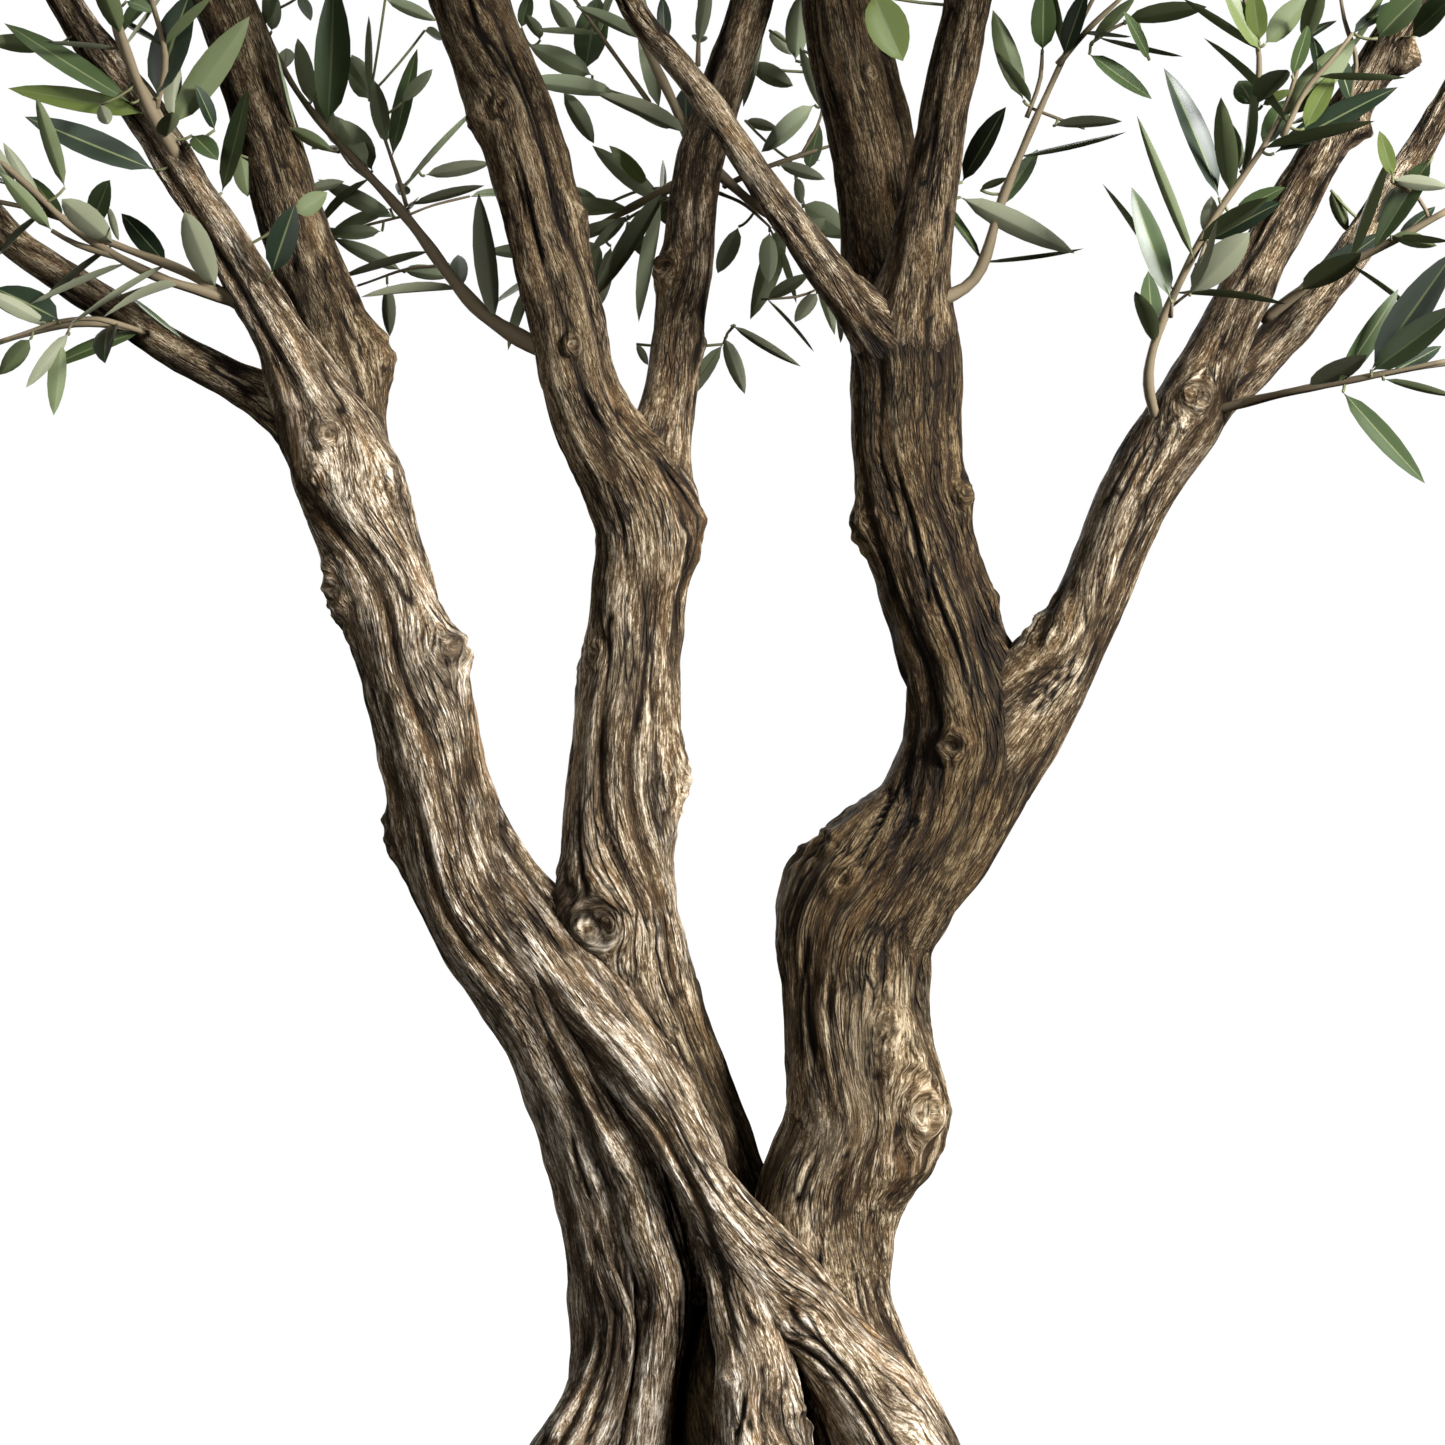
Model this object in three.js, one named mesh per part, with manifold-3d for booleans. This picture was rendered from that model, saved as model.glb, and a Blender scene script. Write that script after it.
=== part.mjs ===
// A small olive tree: twisted strands fused into one foot, three stems, ten boughs and a round crown.
// Millimetres, +Z up. The origin is on the flat cut at ground level and the front faces -Y.
import * as THREE from 'three';
import { mergeVertices } from 'three/addons/utils/BufferGeometryUtils.js';
import Module from 'manifold-3d';

const wasm = await Module();
wasm.setup();

// Clear space between neighbouring pieces.
const GAP = 0.3;

// Heights of the flat joints between the fused foot and the stems.
const FIRST_FORK = 176;
const SECOND_FORK = 342;
const RIGHT_BEND = 398;

// Wider and higher than the whole tree.
const WIDE = 4000;

// Tubes: how many sides, and how far apart the rings stand.
const STRAND = { sides: 9, step: 46 };
const BOUGH = { sides: 8, step: 85 };
const SIDE_BOUGH = { sides: 6, step: 110 };
const TWIG = { sides: 3, stemSteps: 5, straight: 1 };

// The crown is built of foliage masses in three rings and a top. Each ring has a height and a radius.
const CROWN = {
  depth: 0.9, // how deep the crown is for its width
  low: { z: 1090, radius: 570 },
  middle: { z: 1420, radius: 520 },
  high: { z: 1750, radius: 265 },
  reach: 290, // the longest way from a mass's centre to its leaf tips
  margin: 5, // half the free space between two masses
  limbRoom: 6, // free space between leaves and the limbs they don't grow on
  boughShare: 0.5, // a bough ends this share of the reach short of its mass's centre
  underside: 862, // the leaves over the stems stay above a plane of this height at the middle
  undersideRise: 0.21, // and that plane rises towards the back
  undersideHalf: 470,
};

// One stem through each mass carries the twigs, and each twig carries leaves.
const GOLDEN_TURN = Math.PI * (3 - Math.sqrt(5));
const FOLIAGE = {
  twigs: 6,
  firstTwig: 0.1,
  lastTwig: 0.92,
  wideAngle: 1.2,
  closeAngle: 0.62,
  stemRadius: 4.2,
  twigRadius: 2.4,
  endRadius: 1.1,
  droop: 0.1,
  shorter: [1, 0.8, 0.62, 0.48], // a twig or leaf that doesn't fit is tried again at these shares
  stemRun: 55, // how far the stem follows its bough's line
  farShare: 0.5, // how far past the mass's centre the stem goes, as a share of the reach
  farLift: 14,
  sunk: 1.5, // how deep a leaf's root is sunk past its twig's axis
  leafStops: [0.5, 1],
  twigLength: [0.56, 0.4], // for the first and the last twig, as shares of the reach
};
const LEAF = { length: 178, width: 54, thickness: 4, widest: 0.45, spread: 0.75 };
const SPRAY_LEAF = { length: 82, width: 22, thickness: 2, widest: 0.45, spread: 0.7, every: 60 };

const BARK = { color: 0x8a7760, roughness: 0.9, metalness: 0 };
const LEAF_GREEN = { color: 0x55653f, roughness: 0.55, metalness: 0 };

// The fused strands of the foot, as [x, y, z, radius] along each one.
const strands = {
  left: [[-84, -5, -25, 43], [-72, -8, 56, 31], [-71, -8, 111, 30], [-77, -6, 166, 31], [-108, 0, 253, 28],
    [-160, 0, 336, 28], [-180, -2, 429, 29], [-208, -4, 522, 26], [-232, 0, 588, 25]],
  middle: [[-35, 56, -25, 40], [-20, 48, 80, 32], [-21, 34, 170, 28], [-48, 20, 256, 26],
    [-73, 10, 335, 30], [-70, 8, 412, 30], [-64, 8, 489, 26], [-54, 8, 552, 27]],
  cross: [[122, -36, -25, 23], [90, -42, 41, 20], [46, -52, 108, 19], [-8, -52, 178, 18],
    [-56, -36, 250, 21], [-118, -8, 322, 19]],
  web: [[-42, 2, 150, 32], [-76, -2, 256, 27], [-113, 2, 338, 17]],
  centre: [[6, -56, -25, 36], [6, -60, 61, 25], [4, -58, 103, 23], [-26, -42, 185, 18]],
  leftToe: [[-114, -18, -25, 24], [-90, -22, 48, 20], [-77, -20, 86, 17], [-84, -12, 140, 14]],
  back: [[64, 52, -25, 40], [46, 42, 80, 30], [44, 22, 165, 26]],
  heart: [[-2, 12, -25, 50], [-2, 10, 80, 44], [6, 6, 160, 34]],
  right: [[88, 0, -25, 45], [62, 4, 60, 33], [48, 8, 112, 32], [48, 8, 164, 37], [60, 6, 208, 43],
    [56, 2, 278, 41], [60, 0, 316, 43], [78, 0, 342, 41], [104, 0, 374, 36], [117, 2, 412, 33],
    [113, 4, 455, 31], [94, 6, 525, 30], [85, 6, 580, 30], [86, 6, 648, 29]],
};

// Boughs whose foot shows, by the ring and the turn, in eighths or less of a circle, of their mass.
// Their points run as far as they can be seen, and from there they bend over to their mass.
const boughs = {
  left_back_bough: { ring: 'low', turn: 0.415, tip: 7,
    path: [[-226, 4, 560, 21], [-225, 26, 621, 21], [-255, 52, 697, 19.5], [-305, 96, 844, 17]] },
  left_front_bough: { ring: 'low', turn: 0.6, tip: 5.5,
    path: [[-226, -6, 570, 20], [-247, -14, 619, 17], [-279, -20, 675, 13.5], [-330, -27, 757, 11.5],
      [-368, -34, 810, 9.5]] },
  left_side_bough: { ring: 'low', turn: 0.5, tip: 5,
    path: [[-228, 0, 574, 16], [-266, 2, 603, 12], [-321, 5, 635, 10], [-377, 8, 672, 9.5],
      [-415, 8, 700, 9]] },
  middle_front_bough: { ring: 'middle', turn: 0.64, tip: 7,
    path: [[-60, 5, 535, 25], [-91, 4, 600, 22], [-108, 6, 671, 22], [-126, 12, 744, 23],
      [-157, 22, 829, 21]] },
  middle_back_bough: { ring: 'low', turn: 0.24, tip: 5,
    path: [[-52, 12, 545, 19], [-46, 22, 600, 15], [-37, 36, 676, 14.5], [-28, 48, 745, 13.5],
      [1, 58, 836, 12]] },
  right_back_bough: { ring: 'high', turn: 0.12, tip: 7,
    path: [[85, 10, 630, 26], [74, 24, 679, 23], [69, 30, 740, 23.5], [52, 38, 832, 23.5]] },
  right_front_bough: { ring: 'low', turn: 0.8, tip: 5.5,
    path: [[86, 0, 625, 23], [90, -16, 670, 18], [100, -44, 738, 13.5], [114, -72, 810, 13.5]] },
  crossing_bough: { ring: 'low', turn: 0.7, tip: 4,
    path: [[82, -6, 625, 16], [52, -22, 659, 12], [18, -34, 701, 9.5], [-32, -48, 771, 7.5],
      [-67, -58, 813, 6.5]] },
  outer_right_bough: { ring: 'low', turn: 0.9, tip: 5.5,
    path: [[108, 0, 388, 30], [146, -2, 428, 26], [176, -6, 474, 19.5], [212, -8, 555, 19.5],
      [235, -8, 592, 20], [252, -10, 628, 16.5], [292, -10, 705, 13.5], [360, -14, 820, 10.5]] },
  outer_back_bough: { ring: 'low', turn: 0.02, tip: 5,
    path: [[228, -4, 580, 15], [270, 14, 618, 12.5], [324, 38, 675, 11], [395, 70, 778, 8.5]] },
};

// Boughs that leave another bough at a share of its length, by the ring and turn of their mass.
const sideBoughs = {
  left_back_upper_bough: { from: 'left_back_bough', at: 0.66, ring: 'middle', turn: 0.39 },
  left_front_upper_bough: { from: 'left_front_bough', at: 0.62, ring: 'middle', turn: 0.515 },
  left_rear_bough: { from: 'left_back_bough', at: 0.74, ring: 'low', turn: 0.33 },
  middle_high_bough: { from: 'middle_front_bough', at: 0.68, ring: 'high', turn: 0.62 },
  middle_forward_bough: { from: 'middle_front_bough', at: 0.6, ring: 'middle', turn: 0.765 },
  rear_upper_bough: { from: 'right_back_bough', at: 0.42, ring: 'middle', turn: 0.265 },
  right_rear_bough: { from: 'middle_back_bough', at: 0.6, ring: 'low', turn: 0.13 },
  right_upper_bough: { from: 'right_back_bough', at: 0.36, ring: 'middle', turn: 0.14 },
  right_high_bough: { from: 'right_back_bough', at: 0.6, ring: 'high', turn: 0.87 },
  left_high_bough: { from: 'right_back_bough', at: 0.66, ring: 'high', turn: 0.37 },
  right_forward_bough: { from: 'right_front_bough', at: 0.56, ring: 'middle', turn: 0.89 },
  outer_upper_bough: { from: 'outer_right_bough', at: 0.8, ring: 'middle', turn: 0.015 },
};

// Leafy twigs low on the boughs. Each has its own path, its first radius and the turn of its leaves.
const sprays = {
  left_front_spray: { from: 'left_front_bough', radius: 4, turn: 0.4,
    path: [[-288, -22, 690], [-345, -34, 682], [-406, -40, 710], [-462, -42, 742]] },
  left_tip_spray: { from: 'left_front_bough', radius: 4.5, turn: 1.2,
    path: [[-305, -24, 722], [-326, -52, 762], [-346, -60, 823], [-362, -74, 880]] },
  left_hanging_spray: { from: 'left_side_bough', radius: 3, turn: 0.2,
    path: [[-330, 4, 641], [-357, -20, 645], [-395, -26, 638], [-432, -34, 622]] },
  left_inner_spray: { from: 'middle_front_bough', radius: 5.5, turn: 0.9,
    path: [[-106, 10, 628], [-150, 30, 656], [-195, 54, 713], [-262, 90, 792], [-292, 112, 856]] },
  inner_spray: { from: 'middle_back_bough', radius: 3.5, turn: 0.1,
    path: [[-30, 46, 736], [-62, 84, 726], [-96, 120, 712], [-128, 150, 690]] },
  rear_spray: { from: 'middle_back_bough', radius: 3.5, turn: 0.7,
    path: [[-28, 46, 745], [4, 80, 722], [30, 108, 708], [50, 136, 684]] },
  right_inner_spray: { from: 'right_front_bough', radius: 4.5, turn: 0.3,
    path: [[90, -16, 654], [120, -16, 668], [137, -22, 715], [166, -30, 782], [196, -42, 842]] },
  outer_spray: { from: 'outer_right_bough', radius: 3.5, turn: 0.5,
    path: [[226, -8, 578], [214, -36, 618], [240, -46, 685], [284, -54, 755], [300, -60, 820]] },
  outer_low_spray: { from: 'outer_right_bough', radius: 3, turn: 0.6,
    path: [[236, -10, 594], [290, -32, 606], [356, -42, 618], [418, -46, 626]] },
};

const axisOf = (points) => new THREE.CatmullRomCurve3(points.map((p) => new THREE.Vector3(p[0], p[1], p[2])),
  false, 'centripetal');

// The radius at a share of a limb's length, read between the points that give it.
function radiusAt(points, curve, share) {
  const place = curve.getUtoTmapping(share) * (points.length - 1);
  const index = Math.min(Math.floor(place), points.length - 2);
  return THREE.MathUtils.lerp(points[index][3], points[index + 1][3], place - index);
}

// A limb: its axis, its radius along it, and the rings that its tube is drawn through.
function makeLimb(points, { sides, step }) {
  const curve = axisOf(points);
  const count = Math.ceil(curve.getLength() / step);
  const frames = curve.computeFrenetFrames(count, false);
  const rings = [];
  for (let i = 0; i <= count; i += 1) {
    rings.push({
      centre: curve.getPointAt(i / count),
      across: frames.normals[i],
      beside: frames.binormals[i],
      along: frames.tangents[i],
      radius: radiusAt(points, curve, i / count),
    });
  }
  return { points, curve, sides, rings };
}

// A closed tube through a limb's rings, with its radius grown by `grow` and its ends drawn out by as much.
function tubeGeometry({ rings, sides }, grow = 0) {
  const positions = [];
  const index = [];
  rings.forEach((ring, i) => {
    const end = i === 0 ? -1 : Number(i === rings.length - 1);
    const centre = ring.centre.clone().addScaledVector(ring.along, end * grow);
    for (let k = 0; k < sides; k += 1) {
      const angle = (k / sides) * 2 * Math.PI;
      const point = centre.clone()
        .addScaledVector(ring.across, Math.cos(angle) * (ring.radius + grow))
        .addScaledVector(ring.beside, Math.sin(angle) * (ring.radius + grow));
      positions.push(point.x, point.y, point.z);
    }
  });
  for (let i = 0; i < rings.length - 1; i += 1) {
    for (let k = 0; k < sides; k += 1) {
      const next = (k + 1) % sides;
      const [a, b, c, d] = [i * sides + k, i * sides + next, (i + 1) * sides + next, (i + 1) * sides + k];
      index.push(a, b, c, a, c, d);
    }
  }
  const last = (rings.length - 1) * sides;
  for (let k = 1; k < sides - 1; k += 1) {
    index.push(0, k + 1, k, last, last + k, last + k + 1);
  }
  const geometry = new THREE.BufferGeometry();
  geometry.setAttribute('position', new THREE.Float32BufferAttribute(positions, 3));
  geometry.setIndex(index);
  return geometry;
}

// A closed geometry as a solid that can be joined and cut.
function toSolid(geometry) {
  const bare = geometry.clone();
  bare.deleteAttribute('normal');
  bare.deleteAttribute('uv');
  const merged = mergeVertices(bare);
  return new wasm.Manifold(new wasm.Mesh({
    numProp: 3,
    vertProperties: new Float32Array(merged.attributes.position.array),
    triVerts: new Uint32Array(merged.index.array),
  }));
}

const tube = (limb, grow = 0) => toSolid(tubeGeometry(limb, grow));

// The largest body of a solid, so that scraps and sealed hollows are dropped.
function largest(solid) {
  return solid.decompose().sort((a, b) => b.volume() - a.volume())[0];
}

// What is left of a solid outside some spaces.
const clearOf = (solid, spaces) => largest(spaces.reduce((left, space) => left.subtract(space), solid));

// The part of a solid between two heights.
function between(solid, bottom, top) {
  const slab = new THREE.BoxGeometry(WIDE, WIDE, top - bottom);
  slab.translate(0, 0, (top + bottom) / 2);
  return solid.intersect(toSolid(slab));
}

// A solid as a named mesh with its own material.
function meshOf(name, solid, look) {
  const { vertProperties, triVerts, numProp } = solid.getMesh();
  const positions = new Float32Array((vertProperties.length / numProp) * 3);
  for (let i = 0; i < positions.length / 3; i += 1) {
    positions.set(vertProperties.subarray(i * numProp, i * numProp + 3), i * 3);
  }
  const geometry = new THREE.BufferGeometry();
  geometry.setAttribute('position', new THREE.Float32BufferAttribute(positions, 3));
  geometry.setIndex(new THREE.Uint32BufferAttribute(triVerts, 1));
  geometry.computeVertexNormals();
  const mesh = new THREE.Mesh(geometry, new THREE.MeshStandardMaterial(look));
  mesh.name = name;
  return mesh;
}

// The foot and the stems: all strands fused, then parted at the forks.
function buildStems(limbs) {
  const low = Object.values(limbs).map((limb) => tube(limb));
  const foot = between(wasm.Manifold.union(low), 0, FIRST_FORK);
  const pair = ['left', 'middle', 'cross', 'centre', 'web'].map((name) => tube(limbs[name]));
  const rightSpace = tube(limbs.right, GAP);
  const leftSpace = tube(limbs.left, GAP);
  return {
    trunk: largest(foot),
    double_stem: clearOf(between(wasm.Manifold.union(pair), FIRST_FORK + GAP, SECOND_FORK), [rightSpace]),
    left_stem: largest(between(tube(limbs.left), SECOND_FORK + GAP, WIDE)),
    middle_stem: clearOf(between(tube(limbs.middle), SECOND_FORK + GAP, WIDE), [leftSpace]),
    right_stem_lower: largest(between(tube(limbs.right), FIRST_FORK + GAP, RIGHT_BEND)),
    right_stem_upper: largest(between(tube(limbs.right), RIGHT_BEND + GAP, WIDE)),
  };
}

// The centre of a mass in a ring of the crown, a share of a full turn round from +X.
function massCentre({ ring, turn }) {
  const { z, radius } = CROWN[ring];
  const angle = turn * 2 * Math.PI;
  return new THREE.Vector3(Math.cos(angle) * radius, Math.sin(angle) * radius * CROWN.depth, z);
}

// The points of a bough from its last seen point to where it enters its mass, a share of the way in.
function reachFor(points, centre, tipRadius) {
  const last = new THREE.Vector3(...points.at(-1));
  const before = new THREE.Vector3(...points.at(-2));
  const onward = last.clone().sub(before).normalize();
  const tip = last.clone().lerp(centre, 1 - (CROWN.boughShare * CROWN.reach) / last.distanceTo(centre));
  const bend = last.clone().lerp(tip, 0.45).addScaledVector(onward, 0.16 * last.distanceTo(tip));
  const middleRadius = THREE.MathUtils.lerp(points.at(-1)[3], tipRadius, 0.5);
  return [...points, [...bend.toArray(), middleRadius], [...tip.toArray(), tipRadius]];
}

// A bough that leaves another one: it starts on that one's axis and leans over to its own mass.
function sideBoughPoints(parent, { at }, centre) {
  const start = parent.curve.getPointAt(at);
  const tangent = parent.curve.getTangentAt(at);
  const foot = radiusAt(parent.points, parent.curve, at) * 0.66;
  const tip = start.clone().lerp(centre, 1 - (CROWN.boughShare * CROWN.reach) / start.distanceTo(centre));
  const span = start.distanceTo(tip);
  const outward = tip.clone().sub(start).normalize();
  const bend = start.clone().lerp(tip, 0.36).addScaledVector(tangent, 0.07 * span);
  const heel = start.clone().addScaledVector(outward, 0.12 * span).addScaledVector(tangent, 0.03 * span);
  const tipRadius = Math.max(3.5, foot * 0.42);
  return [
    [...start.toArray(), foot],
    [...heel.toArray(), foot * 0.86],
    [...bend.toArray(), foot * 0.7],
    [...tip.toArray(), tipRadius],
  ];
}

// A repeatable number from 0 to 1 for a seed and a count.
function vary(seed, count) {
  const wave = Math.sin(seed * 12.9898 + count * 78.233) * 43758.5453;
  return wave - Math.floor(wave);
}

// Twigs are three-sided tubes that narrow from one radius to another through a few points.
function twigSolid(points, first, last, steps) {
  const radiusOf = (i) => THREE.MathUtils.lerp(first, last, i / (points.length - 1));
  const rows = points.map((p, i) => [...p.toArray(), radiusOf(i)]);
  return tube(makeLimb(rows, { sides: TWIG.sides, step: (1.001 * axisOf(rows).getLength()) / steps }));
}

// A leaf blade of eight faces: a root, a tip, and between them a flat diamond at its widest place.
function leafPoints(root, along, up, size, shape) {
  const beside = new THREE.Vector3().crossVectors(along, up).normalize();
  const above = new THREE.Vector3().crossVectors(beside, along).normalize();
  const middle = root.clone().addScaledVector(along, shape.length * size * shape.widest);
  return {
    root: root.clone().addScaledVector(along, -FOLIAGE.sunk),
    tip: root.clone().addScaledVector(along, shape.length * size),
    belt: [
      middle.clone().addScaledVector(beside, (shape.width * size) / 2),
      middle.clone().addScaledVector(above, shape.thickness / 2),
      middle.clone().addScaledVector(beside, (-shape.width * size) / 2),
      middle.clone().addScaledVector(above, -shape.thickness / 2),
    ],
  };
}

function leafSolid({ root, tip, belt }) {
  const positions = [root, ...belt, tip].flatMap((p) => p.toArray());
  const index = [];
  for (let k = 0; k < 4; k += 1) {
    const [here, next] = [1 + k, 1 + ((k + 1) % 4)];
    index.push(0, here, next, 5, next, here);
  }
  const geometry = new THREE.BufferGeometry();
  geometry.setAttribute('position', new THREE.Float32BufferAttribute(positions, 3));
  geometry.setIndex(index);
  const solid = toSolid(geometry);
  return solid.volume() > 0 ? solid : toSolid(flipped(geometry));
}

function flipped(geometry) {
  const turned = geometry.clone();
  turned.setIndex([...geometry.index.array].reverse());
  return turned;
}

// A mass's own space: what is nearer to its centre than to any other, within its reach, above the
// crown's underside, and clear of every limb. It says whether it holds a point.
function makeSpace(centre, others, limbs) {
  return (p) => {
    if (p.distanceTo(centre) > CROWN.reach) return false;
    const overStems = Math.abs(p.x) < CROWN.undersideHalf;
    if (overStems && p.z < CROWN.underside + CROWN.undersideRise * p.y) return false;
    const inCell = others.every((other) => {
      const apart = 2 * other.distanceTo(centre);
      return (p.distanceToSquared(other) - p.distanceToSquared(centre)) / apart > CROWN.margin;
    });
    return inCell && clearOfLimbs(p, limbs, CROWN.limbRoom);
  };
}

function clearOfLimbs(p, limbs, room) {
  const segment = new THREE.Line3();
  const near = new THREE.Vector3();
  return limbs.every(({ rings }) => {
    for (let i = 0; i < rings.length - 1; i += 1) {
      segment.set(rings[i].centre, rings[i + 1].centre);
      segment.closestPointToPoint(p, true, near);
      if (near.distanceTo(p) < Math.max(rings[i].radius, rings[i + 1].radius) + room) return false;
    }
    return true;
  });
}

// Points along a leaf that are tested before it is kept.
function leafProbe(leaf) {
  const probe = [0.35, 0.6, 0.8].map((share) => leaf.root.clone().lerp(leaf.tip, share));
  return [...probe, ...leaf.belt, leaf.tip];
}

// One leaf on a twig: it leaves at an angle to the twig, on a side that turns round with the count.
function leafOn(curve, share, { turn, roll }, shape, size) {
  const root = curve.getPointAt(share);
  const tangent = curve.getTangentAt(share);
  const flat = new THREE.Vector3().crossVectors(tangent, new THREE.Vector3(0, 0, 1)).normalize();
  const side = flat.applyAxisAngle(tangent, turn);
  const spread = share === 1 ? 0 : shape.spread;
  const along = tangent.clone().multiplyScalar(Math.cos(spread)).addScaledVector(side, Math.sin(spread));
  const up = new THREE.Vector3(0, 0, 1).addScaledVector(tangent, 0.35);
  return leafPoints(root, along.normalize(), up.applyAxisAngle(along, roll), size, shape);
}

// A twig leaves a stem to one side and hangs a little lower at its end.
function twigPath(start, direction, length) {
  const end = start.clone().addScaledVector(direction, length);
  return [start, end.setZ(end.z - FOLIAGE.droop * length)];
}

// One mass of foliage: a stem from its bough's tip on through its centre, twigs round it and leaves.
function buildMass(bough, centre, inSpace, seed, spaces) {
  const end = bough.rings.at(-1);
  const root = end.centre.clone().addScaledVector(end.along, GAP / 2);
  const inward = centre.clone().sub(root).normalize();
  const bendTo = end.along.clone().lerp(inward, 0.5).normalize();
  const far = centre.clone().addScaledVector(inward, FOLIAGE.farShare * CROWN.reach);
  far.setZ(far.z + FOLIAGE.farLift);
  const onward = root.clone().addScaledVector(bendTo, FOLIAGE.stemRun);
  const stem = axisOf([root, onward, centre, far].map((p) => p.toArray()));
  const stemPoints = [0, 0.2, 0.6, 1].map((share) => stem.getPointAt(share));
  const stemRadius = Math.min(FOLIAGE.stemRadius, end.radius * 0.95);
  const pieces = [twigSolid(stemPoints, stemRadius, FOLIAGE.endRadius, TWIG.stemSteps)];
  const lastLeaf = leafOn(stem, 1, { turn: 0, roll: vary(seed, 9) }, LEAF, 1);
  if (leafProbe(lastLeaf).every(inSpace)) pieces.push(leafSolid(lastLeaf));
  for (let k = 0; k < FOLIAGE.twigs; k += 1) {
    const along = k / (FOLIAGE.twigs - 1);
    const share = THREE.MathUtils.lerp(FOLIAGE.firstTwig, FOLIAGE.lastTwig, along);
    const start = stem.getPointAt(share);
    const tangent = stem.getTangentAt(share);
    const aside = new THREE.Vector3().crossVectors(tangent, new THREE.Vector3(0.3, 0.1, 1)).normalize();
    aside.applyAxisAngle(tangent, k * GOLDEN_TURN + seed);
    const angle = THREE.MathUtils.lerp(FOLIAGE.wideAngle, FOLIAGE.closeAngle, along);
    const direction = tangent.clone().multiplyScalar(Math.cos(angle)).addScaledVector(aside, Math.sin(angle));
    const usual = CROWN.reach * THREE.MathUtils.lerp(...FOLIAGE.twigLength, along);
    const full = usual * (0.85 + 0.3 * vary(seed, k));
    const fit = FOLIAGE.shorter.find((part) => inSpace(twigPath(start, direction, full * part)[1]));
    if (!fit) continue;
    const path = twigPath(start, direction, full * fit);
    pieces.push(twigSolid(path, FOLIAGE.twigRadius, FOLIAGE.endRadius, TWIG.straight));
    const curve = axisOf(path.map((p) => p.toArray()));
    FOLIAGE.leafStops.forEach((stop, n) => {
      const size = 0.85 + 0.3 * vary(seed + 1, k * 2 + n);
      const pose = { turn: n * Math.PI + vary(seed + 2, k), roll: 2.4 * vary(seed + 3, k * 2 + n) - 1.2 };
      const leaf = FOLIAGE.shorter.map((part) => leafOn(curve, stop, pose, LEAF, size * part))
        .find((one) => leafProbe(one).every(inSpace));
      if (leaf) pieces.push(leafSolid(leaf));
    });
  }
  return clearOf(wasm.Manifold.union(pieces), spaces);
}

// A leafy twig low on a bough: pairs of leaves, each pair turned a quarter from the one before.
function buildSpray({ path, radius, turn }, limbs, spaces) {
  const points = path.map((p) => new THREE.Vector3(...p));
  const curve = axisOf(path);
  const pairs = Math.round(curve.getLength() / SPRAY_LEAF.every);
  const pieces = [twigSolid(points, radius, FOLIAGE.endRadius, 2 * pairs)];
  for (let n = 1; n <= pairs; n += 1) {
    const share = n / pairs;
    [0, Math.PI].forEach((half, side) => {
      const size = 0.9 + 0.25 * vary(turn, n * 2 + side);
      const pose = { turn: turn + n * (Math.PI / 2) + half, roll: vary(turn + 5, n * 2 + side) - 0.5 };
      const leaf = leafOn(curve, share, pose, SPRAY_LEAF, size);
      const clear = leafProbe(leaf).every((p) => clearOfLimbs(p, limbs, 4));
      if (clear && (share < 1 || side === 0)) pieces.push(leafSolid(leaf));
    });
  }
  return clearOf(wasm.Manifold.union(pieces), spaces);
}

// The whole tree.
const strandLimbs = {};
for (const [name, points] of Object.entries(strands)) strandLimbs[name] = makeLimb(points, STRAND);
const tree = new THREE.Group();
for (const [name, solid] of Object.entries(buildStems(strandLimbs))) tree.add(meshOf(name, solid, BARK));

const boughLimbs = {};
const centres = {};
for (const [name, bough] of Object.entries(boughs)) {
  centres[name] = massCentre(bough);
  boughLimbs[name] = makeLimb(reachFor(bough.path, centres[name], bough.tip), BOUGH);
}
for (const [name, bough] of Object.entries(sideBoughs)) {
  centres[name] = massCentre(bough);
  boughLimbs[name] = makeLimb(sideBoughPoints(boughLimbs[bough.from], bough, centres[name]), SIDE_BOUGH);
}

// Each bough is cut clear of the stems and of the boughs before it.
const spaces = ['left', 'middle', 'right'].map((name) => tube(strandLimbs[name], GAP));
for (const [name, limb] of Object.entries(boughLimbs)) {
  tree.add(meshOf(name, clearOf(tube(limb), spaces), BARK));
  spaces.push(tube(limb, GAP));
}

const allLimbs = [...Object.values(strandLimbs), ...Object.values(boughLimbs)];
Object.entries(boughLimbs).forEach(([name, limb], seed) => {
  const others = Object.entries(centres).filter(([other]) => other !== name).map(([, centre]) => centre);
  const inSpace = makeSpace(centres[name], others, allLimbs.filter((one) => one !== limb));
  const solid = buildMass(limb, centres[name], inSpace, seed, spaces);
  tree.add(meshOf(name.replace('bough', 'foliage'), solid, LEAF_GREEN));
});

for (const [name, spray] of Object.entries(sprays)) {
  const others = allLimbs.filter((one) => one !== boughLimbs[spray.from]);
  tree.add(meshOf(name, buildSpray(spray, others, spaces), LEAF_GREEN));
}

export default tree;
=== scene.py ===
import math

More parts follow.
